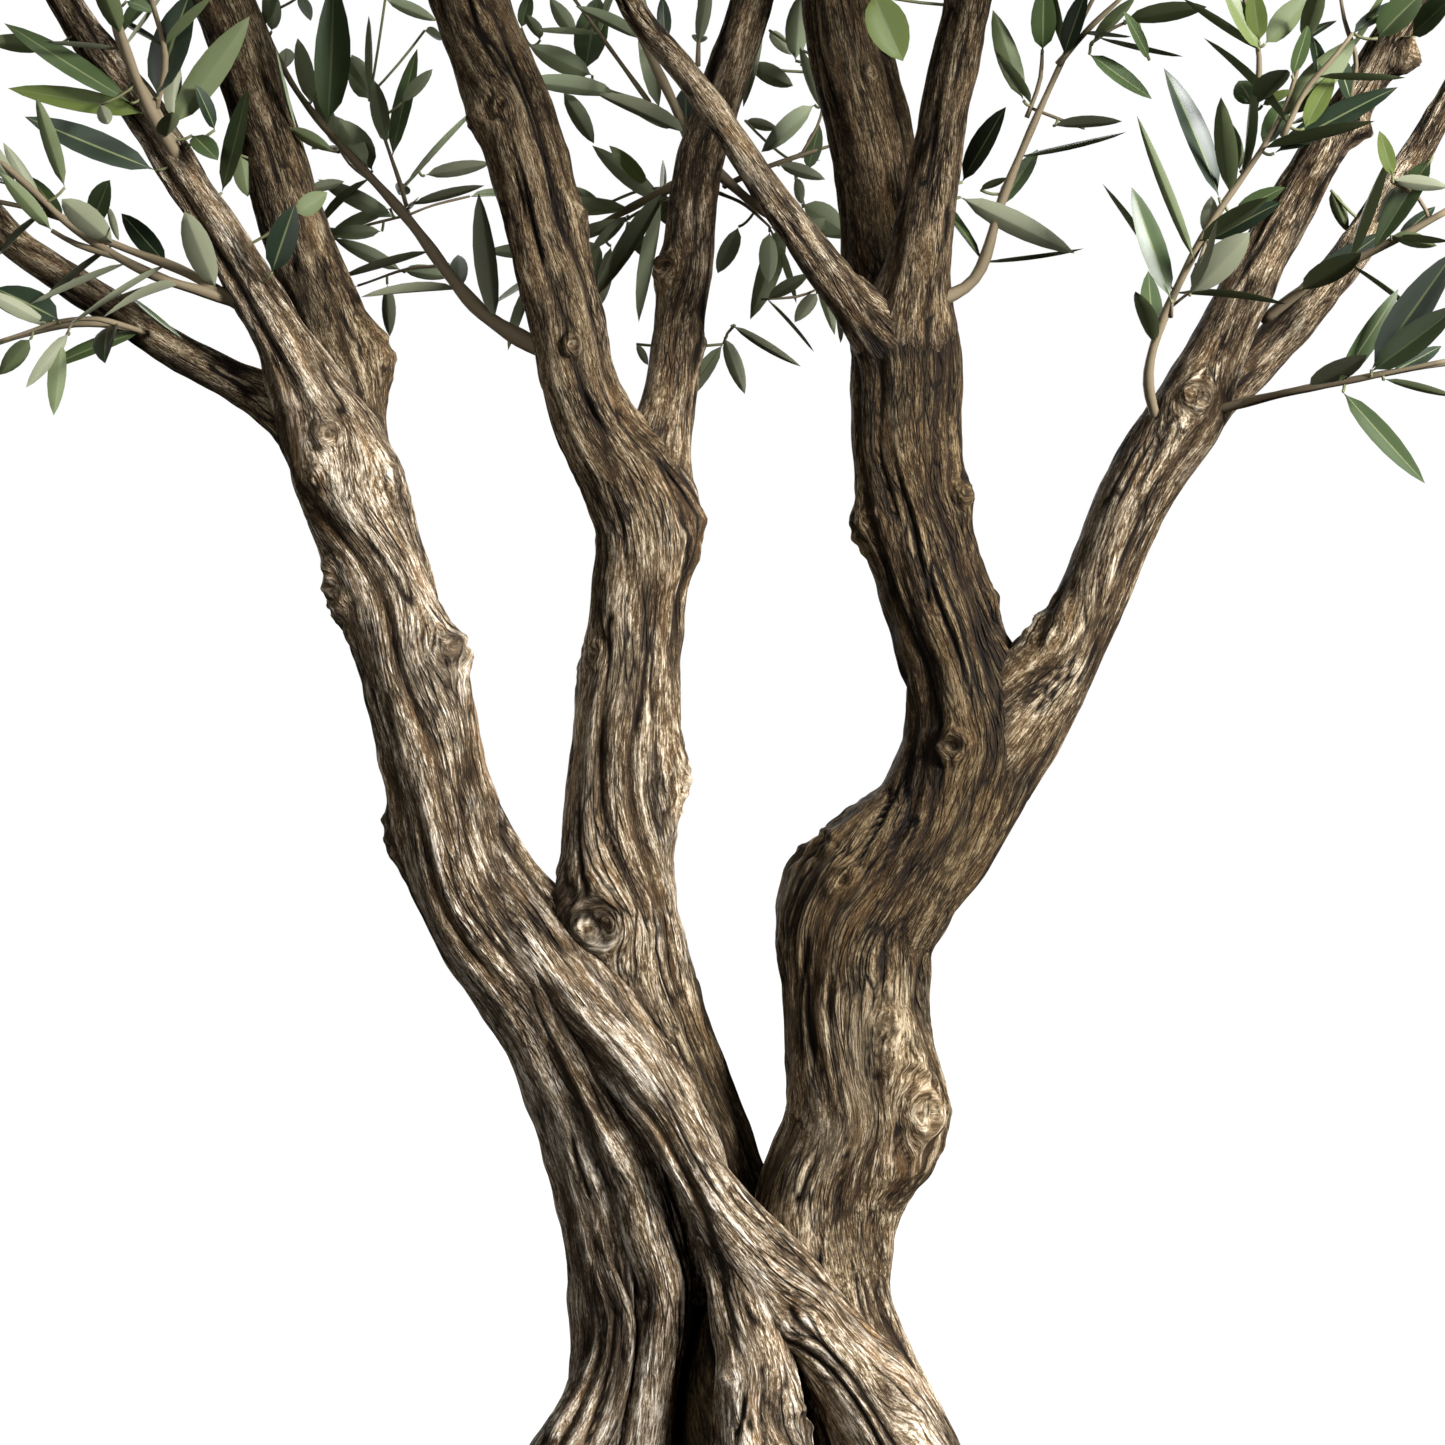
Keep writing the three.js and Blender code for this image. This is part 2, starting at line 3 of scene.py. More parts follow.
import bpy
import numpy as np
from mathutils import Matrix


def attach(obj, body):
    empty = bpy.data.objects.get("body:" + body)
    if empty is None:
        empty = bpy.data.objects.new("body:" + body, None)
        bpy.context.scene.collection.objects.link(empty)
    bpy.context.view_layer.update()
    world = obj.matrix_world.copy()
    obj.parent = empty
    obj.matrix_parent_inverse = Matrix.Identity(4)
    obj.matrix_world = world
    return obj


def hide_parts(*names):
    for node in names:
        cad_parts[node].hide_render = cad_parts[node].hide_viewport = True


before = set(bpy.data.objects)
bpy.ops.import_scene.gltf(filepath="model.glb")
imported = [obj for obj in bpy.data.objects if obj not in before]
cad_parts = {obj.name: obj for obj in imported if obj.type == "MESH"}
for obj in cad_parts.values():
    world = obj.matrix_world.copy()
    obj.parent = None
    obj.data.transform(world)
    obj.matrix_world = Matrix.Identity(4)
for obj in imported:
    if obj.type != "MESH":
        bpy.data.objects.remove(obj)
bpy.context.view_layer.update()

mm = 0.001
goldenTurn = math.pi * (3 - math.sqrt(5))

# The camera stands where the photograph was taken from, in millimetres before the tree
cameraPlace = {"pixels": 1445, "mmPerPixel": 0.55, "axisPixel": 752, "distance": 2000, "groundBelow": 30}


def makeCamera(place):
    # The lens shows the photograph's width at the tree, and the tree's axis falls on its own pixel
    half = place["pixels"] / 2
    data = bpy.data.cameras.new("camera")
    data.sensor_width = 36
    data.lens = data.sensor_width / 2 * place["distance"] / (half * place["mmPerPixel"])
    camera = bpy.data.objects.new("camera", data)
    bpy.context.collection.objects.link(camera)
    across = (half - place["axisPixel"]) * place["mmPerPixel"]
    up = place["groundBelow"] + half * place["mmPerPixel"]
    camera.location = (across * mm, -place["distance"] * mm, up * mm)
    camera.rotation_euler = (math.pi / 2, 0, 0)
    bpy.context.scene.camera = camera


makeCamera(cameraPlace)
print("camera placed")


# Noise and paths

hashFactors = (73856093, 19349663, 83492791, 2971215073)  # scramble a cell's x, y, z and the seed
hashMixers, hashMask = (1274126177, 668265263), 0xFFFFFFFF
noiseGain = 1.4  # brings the noise to about -1 to 1
varyFactors = (12.9898, 78.233, 43758.5453)
tiny = 1e-9


def unit(v):
    # Each vector, made one long
    return v / np.maximum(np.linalg.norm(v, axis=-1, keepdims=True), tiny)


def noise(p, seed=0):
    # Gradient noise: each point blends eight slopes that belong to the corners of its cell
    cell = np.floor(p).astype(np.int64)
    f = p - cell
    ease = f * f * f * (f * (f * 6 - 15) + 10)
    total = np.zeros(p.shape[:-1])
    for corner in np.ndindex(2, 2, 2):
        i = cell + corner
        h = (i[..., 0] * hashFactors[0]) ^ (i[..., 1] * hashFactors[1]) ^ (i[..., 2] * hashFactors[2])
        h = h ^ (seed * hashFactors[3])
        h = ((h & hashMask) * hashMixers[0]) & hashMask
        h = ((h ^ (h >> 15)) * hashMixers[1]) & hashMask
        h = h ^ (h >> 13)
        slope = sum(((h >> shift & 1023) / 511.5 - 1) * (f[..., axis] - corner[axis])
                    for axis, shift in enumerate((0, 10, 20)))
        weight = np.prod([ease[..., axis] if corner[axis] else 1 - ease[..., axis] for axis in range(3)],
                         axis=0)
        total += weight * slope
    return total * noiseGain


def vary(seed, count):
    # The tree's own repeatable number from 0 to 1 for a seed and a count
    wave = np.sin(np.asarray(seed) * varyFactors[0] + np.asarray(count) * varyFactors[1]) * varyFactors[2]
    return wave - np.floor(wave)


def evenly(pair, share):
    # Runs from the first value of a pair to the second
    return pair[0] + (pair[1] - pair[0]) * share


def smoothStep(x, low, high):
    # Runs from 0 at low to 1 at high by 3 t squared less 2 t cubed
    t = np.clip((x - low) / (high - low), 0, 1)
    return t * t * (3 - 2 * t)


def smoothPath(points, step, between=40):
    # A centripetal Catmull-Rom curve through the points, read at even steps of its length.
    # Every column is carried, so a radius beside x, y and z is smoothed too
    p = np.asarray(points, float)
    p = np.vstack([2 * p[0] - p[1], p, 2 * p[-1] - p[-2]])
    chord = np.sqrt(np.linalg.norm(np.diff(p[:, :3], axis=0), axis=1))[:, None]
    x0, x1, x2, x3 = p[:-3], p[1:-2], p[2:-1], p[3:]
    d0, d1, d2 = chord[:-2], chord[1:-1], chord[2:]
    t1 = d1 * ((x1 - x0) / d0 - (x2 - x0) / (d0 + d1) + (x2 - x1) / d1)
    t2 = d1 * ((x2 - x1) / d1 - (x3 - x1) / (d1 + d2) + (x3 - x2) / d2)
    t = np.linspace(0, 1, between, endpoint=False)[None, :, None]
    x1, x2, t1, t2 = (v[:, None, :] for v in (x1, x2, t1, t2))
    fine = x1 + t1 * t + (3 * (x2 - x1) - 2 * t1 - t2) * t**2 + (2 * (x1 - x2) + t1 + t2) * t**3
    fine = np.vstack([fine.reshape(-1, p.shape[1]), p[-2]])
    run = np.concatenate([[0], np.cumsum(np.linalg.norm(np.diff(fine[:, :3], axis=0), axis=1))])
    even = np.linspace(0, run[-1], max(3, int(round(run[-1] / step)) + 1))
    return np.stack([np.interp(even, run, fine[:, k]) for k in range(p.shape[1])], axis=1), even


def makeLimb(points, step=2.2, cameraFirst=0.25):
    # A limb's axis: centres, radii, and at each one the ways along, to its front and beside it. The front
    # is the one of a few fixed ways that the limb never comes near, the camera's first
    rows, run = smoothPath(points, step)
    centres, radii = rows[:, :3], rows[:, 3]
    along = unit(np.gradient(centres, axis=0))
    choices = np.array([(0, -1, 0), (0.6, 0, 0.8), (1, 0, 0), (0, 0, 1)], float)
    worst = np.abs(along @ choices.T).max(axis=0)
    worst[0] -= cameraFirst
    front = choices[worst.argmin()]
    front = unit(front - (along @ front)[:, None] * along)
    return {"centres": centres, "radii": radii, "run": run, "along": along, "front": front,
            "beside": np.cross(along, front)}


# The tree's frame: strands of the foot and stems, as x, y, z and radius along each one
strands = {
    "left": [(-84, -5, -8, 41), (-72, -8, 56, 31), (-71, -8, 111, 30), (-77, -6, 166, 31),
             (-108, 0, 253, 28), (-160, 0, 336, 28), (-180, -2, 429, 29), (-208, -4, 522, 26),
             (-232, 0, 588, 25)],
    "middle": [(-33, 55, -8, 39), (-20, 48, 80, 32), (-21, 34, 170, 28), (-48, 20, 256, 26),
               (-73, 10, 335, 30), (-70, 8, 412, 30), (-64, 8, 489, 26), (-54, 8, 552, 27)],
    "cross": [(94, -28, -8, 24), (82, -33, 34, 20), (66, -39, 60, 20), (50, -44, 82, 19),
              (35, -48, 101, 18), (14, -50, 126, 18), (-4, -50, 147, 18), (-18, -50, 165, 17),
              (-32, -50, 188, 15), (-45, -46, 212, 15), (-64, -36, 240, 16), (-92, -22, 272, 16),
              (-120, -12, 310, 14), (-150, -3, 352, 11), (-168, 0, 395, 7)],
    "inner": [(-68, -30, -8, 21), (-61, -32, 32, 17), (-52, -33, 78, 15), (-47, -34, 118, 15),
              (-54, -34, 150, 15), (-64, -32, 186, 14), (-84, -27, 225, 14), (-112, -17, 275, 12),
              (-148, -5, 340, 7)],
    "web": [(-38, 4, 110, 24), (-44, 0, 165, 34), (-78, -4, 256, 26), (-118, 0, 325, 15),
            (-152, 2, 385, 7)],
    "centre": [(6, -57, -8, 32), (5, -58, 33, 28), (2, -57, 58, 24), (0, -54, 85, 21),
               (-7, -50, 120, 18), (-20, -42, 165, 13), (-46, -26, 225, 7)],
    "leftToe": [(-110, -20, -8, 27), (-98, -24, 28, 23), (-84, -26, 54, 19), (-74, -27, 80, 16),
                (-71, -26, 106, 15), (-79, -22, 136, 14), (-90, -14, 180, 11), (-100, -4, 230, 7)],
    "back": [(60, 50, -8, 38), (46, 42, 80, 31), (44, 30, 140, 25), (46, 22, 185, 10)],
    "heart": [(-2, 12, -4, 49), (-2, 10, 80, 43), (2, 12, 120, 30), (8, 16, 150, 12)],
    "right": [(77, 1, -8, 41), (59, 4, 60, 32), (45, 8, 108, 32), (41, 8, 138, 38), (44, 8, 168, 41),
              (60, 6, 208, 43), (56, 2, 278, 41), (60, 0, 316, 43), (78, 0, 342, 41), (104, 0, 374, 36),
              (117, 2, 412, 33), (113, 4, 455, 31), (94, 6, 525, 30), (85, 6, 580, 30), (86, 6, 648, 29)],
}

# Boughs whose foot shows: the stem they leave, the ring and the turn of the foliage mass they end in, their
# radius there, and their path as x, y, z and radius
boughs = {
    "left_back_bough": {"from": "left", "ring": "low", "turn": 0.415, "tip": 7, "path": [
        (-226, 4, 560, 21), (-225, 26, 621, 21), (-255, 52, 697, 19.5), (-305, 96, 844, 17)]},
    "left_front_bough": {"from": "left", "ring": "low", "turn": 0.6, "tip": 5.5, "path": [
        (-226, -6, 570, 20), (-247, -14, 619, 17), (-279, -20, 675, 13.5), (-330, -27, 757, 11.5),
        (-368, -34, 810, 9.5)]},
    "left_side_bough": {"from": "left", "ring": "low", "turn": 0.5, "tip": 5, "path": [
        (-228, 0, 574, 16), (-266, 2, 603, 12), (-321, 5, 635, 10), (-377, 8, 672, 9.5),
        (-415, 8, 700, 9)]},
    "middle_front_bough": {"from": "middle", "ring": "middle", "turn": 0.64, "tip": 7, "path": [
        (-60, 5, 535, 25), (-91, 4, 600, 22), (-108, 6, 671, 22), (-126, 12, 744, 23),
        (-157, 22, 829, 21)]},
    "middle_back_bough": {"from": "middle", "ring": "low", "turn": 0.24, "tip": 5, "path": [
        (-52, 12, 545, 19), (-46, 22, 600, 15), (-37, 36, 676, 14.5), (-28, 48, 745, 13.5),
        (1, 58, 836, 12)]},
    "right_back_bough": {"from": "right", "ring": "high", "turn": 0.12, "tip": 7, "path": [
        (85, 10, 630, 26), (74, 24, 679, 23), (69, 30, 740, 23.5), (52, 38, 832, 23.5)]},
    "right_front_bough": {"from": "right", "ring": "low", "turn": 0.8, "tip": 5.5, "path": [
        (86, 0, 625, 23), (90, -16, 670, 18), (100, -44, 738, 13.5), (114, -72, 810, 13.5)]},
    "crossing_bough": {"from": "right", "ring": "low", "turn": 0.7, "tip": 4, "path": [
        (82, -6, 625, 16), (52, -22, 659, 12), (18, -34, 701, 9.5), (-32, -48, 771, 7.5),
        (-67, -58, 813, 6.5)]},
    "outer_right_bough": {"from": "right", "ring": "low", "turn": 0.9, "tip": 5.5, "path": [
        (108, 0, 388, 30), (146, -2, 428, 26), (176, -6, 474, 19.5), (212, -8, 555, 19.5),
        (235, -8, 592, 20), (252, -10, 628, 16.5), (292, -10, 705, 13.5), (360, -14, 820, 10.5)]},
    "outer_back_bough": {"from": "outer_right_bough", "ring": "low", "turn": 0.02, "tip": 5, "path": [
        (228, -4, 580, 15), (270, 14, 618, 12.5), (324, 38, 675, 11), (395, 70, 778, 8.5)]},
}

# Boughs that leave another one at a share of its length
sideBoughs = {
    "left_back_upper_bough": {"from": "left_back_bough", "at": 0.66, "ring": "middle", "turn": 0.39},
    "left_front_upper_bough": {"from": "left_front_bough", "at": 0.62, "ring": "middle", "turn": 0.515},
    "left_rear_bough": {"from": "left_back_bough", "at": 0.74, "ring": "low", "turn": 0.33},
    "middle_high_bough": {"from": "middle_front_bough", "at": 0.68, "ring": "high", "turn": 0.62},
    "middle_forward_bough": {"from": "middle_front_bough", "at": 0.6, "ring": "middle", "turn": 0.765},
    "rear_upper_bough": {"from": "right_back_bough", "at": 0.42, "ring": "middle", "turn": 0.265},
    "right_rear_bough": {"from": "middle_back_bough", "at": 0.6, "ring": "low", "turn": 0.13},
    "right_upper_bough": {"from": "right_back_bough", "at": 0.36, "ring": "middle", "turn": 0.14},
    "right_high_bough": {"from": "right_back_bough", "at": 0.6, "ring": "high", "turn": 0.87},
    "left_high_bough": {"from": "right_back_bough", "at": 0.66, "ring": "high", "turn": 0.37},
    "right_forward_bough": {"from": "right_front_bough", "at": 0.56, "ring": "middle", "turn": 0.89},
    "outer_upper_bough": {"from": "outer_right_bough", "at": 0.8, "ring": "middle", "turn": 0.015},
}

# The crown: the height and radius of three rings of masses, how far one mass reaches, and the sloping plane
# that the crown stays above near its middle
crown = {
    "depth": 0.9, "low": (1090, 570), "middle": (1420, 520), "high": (1750, 265),
    "reach": 290, "margin": 5, "limbRoom": 6, "boughShare": 0.5,
    "underside": 862, "undersideRise": 0.21, "undersideHalf": 470,
}

# How boughs start and bend. Places are shares of the way to the tip: at is along the straight way and on is
# along the line that the bough comes with. Radii are shares of the foot's
boughShape = {
    "bendAt": 0.45, "bendOn": 0.16,
    "sideFoot": 0.66, "sideHeelAt": 0.12, "sideHeelOn": 0.03, "sideBendAt": 0.36, "sideBendOn": 0.07,
    "sideHeelRadius": 0.86, "sideBendRadius": 0.7, "sideTipRadius": 0.42, "leastTip": 3.5,
    "rootBelow": 55, "rootRadius": 0.3, "footRadius": 0.8,
}


def massCentre(place):
    # A place on one of the crown's rings, at its turn from the right, the ring being flattened in depth
    height, radius = crown[place["ring"]]
    angle = place["turn"] * 2 * math.pi
    return np.array([math.cos(angle) * radius, math.sin(angle) * radius * crown["depth"], height])


def tipTowards(start, centre):
    # A bough's tip: on the way to its mass's centre, a share of the mass's reach before it
    short = crown["boughShare"] * crown["reach"]
    return start + (centre - start) * (1 - short / np.linalg.norm(centre - start))


def reachFor(path, centre, tipRadius):
    # A bough's last points: a bend that keeps its line, then its tip
    last, before = np.array(path[-1][:3], float), np.array(path[-2][:3], float)
    onward = unit(last - before)
    tip = tipTowards(last, centre)
    bend = (last + (tip - last) * boughShape["bendAt"]
            + onward * boughShape["bendOn"] * np.linalg.norm(tip - last))
    return [*path, (*bend, (path[-1][3] + tipRadius) / 2), (*tip, tipRadius)]


def sideBoughPoints(parent, place, centre):
    # A side bough starts on its parent's axis and leans over to its own mass
    shape = boughShape
    k = int(round(place["at"] * (len(parent["run"]) - 1)))
    start, tangent = parent["centres"][k], parent["along"][k]
    foot = parent["radii"][k] * shape["sideFoot"]
    tip = tipTowards(start, centre)
    span = np.linalg.norm(tip - start)
    outward = unit(tip - start)
    heel = start + outward * shape["sideHeelAt"] * span + tangent * shape["sideHeelOn"] * span
    bend = start + (tip - start) * shape["sideBendAt"] + tangent * shape["sideBendOn"] * span
    tipRadius = max(shape["leastTip"], foot * shape["sideTipRadius"])
    return [(*start, foot), (*heel, foot * shape["sideHeelRadius"]),
            (*bend, foot * shape["sideBendRadius"]), (*tip, tipRadius)]


def rootedIn(parent, path):
    # A bough starts slim on its stem's axis, a little below the place where it shows, and swells out of it
    k = np.linalg.norm(parent["centres"] - np.array(path[0][:3]), axis=1).argmin()
    low = max(0, k - int(boughShape["rootBelow"] / (parent["run"][1] - parent["run"][0])))
    foot = (parent["centres"][k] + np.array(path[0][:3])) / 2
    return [(*parent["centres"][low], parent["radii"][low] * boughShape["rootRadius"]),
            (*foot, path[0][3] * boughShape["footRadius"]), *path[1:]]


sideBoughStep = 4  # millimetres between the points of a side bough's axis

# Each stem's bark runs on without a break into one of its boughs
leaders = {"left": "left_front_bough", "middle": "middle_front_bough", "right": "right_back_bough"}
axes = {name: makeLimb(points) for name, points in strands.items()}
skins, centres, stemEnds = dict(axes), {}, {}
for name, bough in boughs.items():
    centres[name] = massCentre(bough)
    path = reachFor(bough["path"], centres[name], bough["tip"])
    axes[name] = makeLimb(path)
    stem = bough["from"]
    if leaders.get(stem) == name:
        joint = (*path[0][:3], strands[stem][-1][3])
        skins[stem] = makeLimb([*strands[stem][:-1], joint, *path[1:]])
        stemEnds[stem] = np.linalg.norm(skins[stem]["centres"] - np.array(joint[:3]), axis=1).argmin()
    else:
        skins[name] = makeLimb(rootedIn(axes[stem], path))
for name, bough in sideBoughs.items():
    centres[name] = massCentre(bough)
    axes[name] = makeLimb(sideBoughPoints(axes[bough["from"]], bough, centres[name]), sideBoughStep)
    skins[name] = axes[name]
skinOf = {name: name for name in axes}
skinOf.update({name: stem for stem, name in leaders.items()})
print("limbs laid out:", len(axes))


# Bark: every limb is a tube whose radius is worked out from grain, flutes, cracks, knots and burls

# What the bark of a limb is like, in millimetres: the mesh's cells, the grooves between its long rounded
# ribs, its cracks, its fine grain and its lumps. Twist is in radians for each metre
barkKinds = {
    "strand": {"cell": 1.2, "row": 1.7, "ribs": 17, "ribRun": 17, "grooveWidth": 3.2, "grooveDepth": 4.6,
               "grain": 7, "stretch": 15, "crackWidth": 1.15, "crackDepth": 2.4, "fine": 0.8, "lump": 1.5,
               "swell": 0.1, "twist": 3.0, "sway": 0.22},
    "stem": {"cell": 1.15, "row": 1.6, "ribs": 19, "ribRun": 16, "grooveWidth": 3.0, "grooveDepth": 3.6,
             "grain": 7, "stretch": 14, "crackWidth": 1.1, "crackDepth": 2.0, "fine": 0.75, "lump": 1.6,
             "swell": 0.06, "twist": 2.2, "sway": 0.2},
    "bough": {"cell": 1.6, "row": 2.4, "ribs": 13, "ribRun": 10, "grooveWidth": 2.2, "grooveDepth": 1.5,
              "grain": 6, "stretch": 10, "crackWidth": 1.0, "crackDepth": 1.0, "fine": 0.5, "lump": 1.0,
              "swell": 0.05, "twist": 1.6, "sway": 0.2},
    "sideBough": {"cell": 3.0, "row": 5.0, "ribs": 15, "ribRun": 7, "grooveWidth": 2.5, "grooveDepth": 0.6,
                  "grain": 7, "stretch": 7, "crackWidth": 1.2, "crackDepth": 0.4, "fine": 0.3, "lump": 0.6,
                  "swell": 0.04, "twist": 1.2, "sway": 0.2},
}

# Knots and burls on a limb: height, place across its front from -1 at the left to 1 at the right, radius,
# and how strong a knot or how high a burl is
knots = {
    "middle": [(323, -0.38, 12.5, 0.34), (463, -0.75, 6, 0.6), (632, 0.1, 5, 0.8), (763, -0.2, 5, 0.8)],
    "right": [(219, 0.66, 8, 0.9), (411, -0.25, 8, 1.1), (328, -0.62, 6, 0.7), (549, 0.85, 5, 0.8),
              (783, 0.3, 4, 0.8)],
    "left": [(586, 0.1, 7, 0.8)],
    "outer_right_bough": [(606, 0.0, 7, 0.7)],
    "middle_back_bough": [(678, -0.7, 6, 0.8)],
}
burls = {
    "middle": [(530, 0.9, 15, 8), (400, 0.95, 22, 6), (455, -1.0, 16, 3), (330, -0.9, 17, 5),
               (326, -0.36, 30, 5), (765, -0.95, 10, 4), (700, 0.9, 12, 3)],
    "right": [(212, 0.85, 22, 10), (238, 0.6, 16, 6), (332, -1.0, 30, 9), (540, -0.95, 16, 8),
              (549, 0.95, 12, 5), (490, 1.0, 14, 3), (264, 0.35, 11, 4), (240, 0.2, 9, 3),
              (196, 0.5, 10, 4), (300, 0.3, 10, 3)],
    "left": [(500, -0.98, 20, 7), (458, 0.88, 17, 9), (463, 0.7, 7, 4), (368, -1.0, 16, 6),
             (570, -0.6, 16, 5), (552, 0.9, 20, 5), (520, -0.9, 8, 5)],
    "cross": [(24, 0.3, 13, 7), (10, -0.4, 12, 6), (66, 0.8, 9, 5), (50, 0.5, 9, 5), (112, -0.2, 12, 4)],
    "centre": [(62, 0.8, 12, 5), (48, 0.95, 8, 5), (80, -0.6, 9, 3), (20, 0.3, 14, 5)],
    "outer_right_bough": [(600, 0.2, 20, 4), (470, -0.9, 20, 4), (756, 0.85, 8, 7), (793, 0.9, 7, 11),
                          (802, 0.8, 5, 8)],
    "left_back_bough": [(628, 0.95, 16, 7)],
    "middle_back_bough": [(678, -0.9, 10, 4), (640, 0.9, 8, 3)],
}


def placeOn(limb, mark):
    # Where a knot sits: its run along the limb and its angle round it, from its height and its place across
    height, across = mark[:2]
    k = np.abs(limb["centres"][:, 2] - height).argmin()
    towards = np.array([across, -math.sqrt(1 - across**2), 0])
    return limb["run"][k], math.atan2(towards @ limb["beside"][k], towards @ limb["front"][k])


def wayToZero(values, rowStep, colStep, leastSlope=0.02):
    # How far over the skin a noise is from crossing zero: its size over its slope, so lines have one width
    along = np.gradient(values, axis=0) / rowStep
    across = (np.roll(values, -1, axis=1) - np.roll(values, 1, axis=1)) / (2 * colStep)
    return np.abs(values) / np.sqrt(along**2 + across**2 + leastSlope**2)


# A knot's shape in its own radii: its rim, pit and ditch as height, distance and width, how tall it is for
# its width, how uneven its edge, and how far round it the grain parts and the skin is bare
knotShape = {
    "rings": [(1, 0.85, 0.42), (-0.45, 0, 0.32), (-0.45, 1.5, 0.2)], "rise": 0.4, "squeeze": 0.85,
    "uneven": 0.16, "parting": 0.8, "partingReach": 2.6, "bare": (0.95, 1.25), "farRing": 3, "farAway": 60,
}

# A burl's shape: the width and height of its lumps and crumbs in millimetres, how rough they make it, and
# how far round it, in its own radii, the grain turns aside
burlShape = {
    "lumps": (8, 8), "crumbs": (4, 4.5), "crumbShare": 0.35, "rough": 0.7, "roughMost": 7,
    "turning": 0.5, "turningReach": 1.6,
}

# What all bark shares: the width and length of its noises, between which values of a noise the grooves and
# the cracks set in, and how much each noise adds to the skin and to how light it looks
barkShape = {
    "leastCells": 16, "sway": (0.9, 110), "swelling": (1.2, 150), "lump": (26, 1.1), "smallLump": (11, 1.2),
    "smallLumpShare": 0.45, "grooved": (1.3, 7), "groovedFrom": (-0.45, 0.1), "crackFrom": (-0.02, 0.4),
    "leastCrack": 0.4, "grains": [(1, 1), (1.6, 0.6), (0.5, 0.8), (0.26, 0.7)],
    "skin": {"broad": 1.3, "fine": 0.8, "finest": 0.45, "less": 0.4},
    "light": {"all": 0.6, "lump": 0.2, "broad": 0.7, "fine": 0.45, "finest": 0.15, "groove": 0.6},
    "broadMean": 0.22, "fineMean": 0.2, "bareGrain": 0.7, "bareLump": 0.6, "tipRound": 1.1,
    "leastRadius": 0.02, "crackMark": 0.9, "grooveMark": 0.5,
    "finer": 0.6, "finerFrom": (500, 680),
}


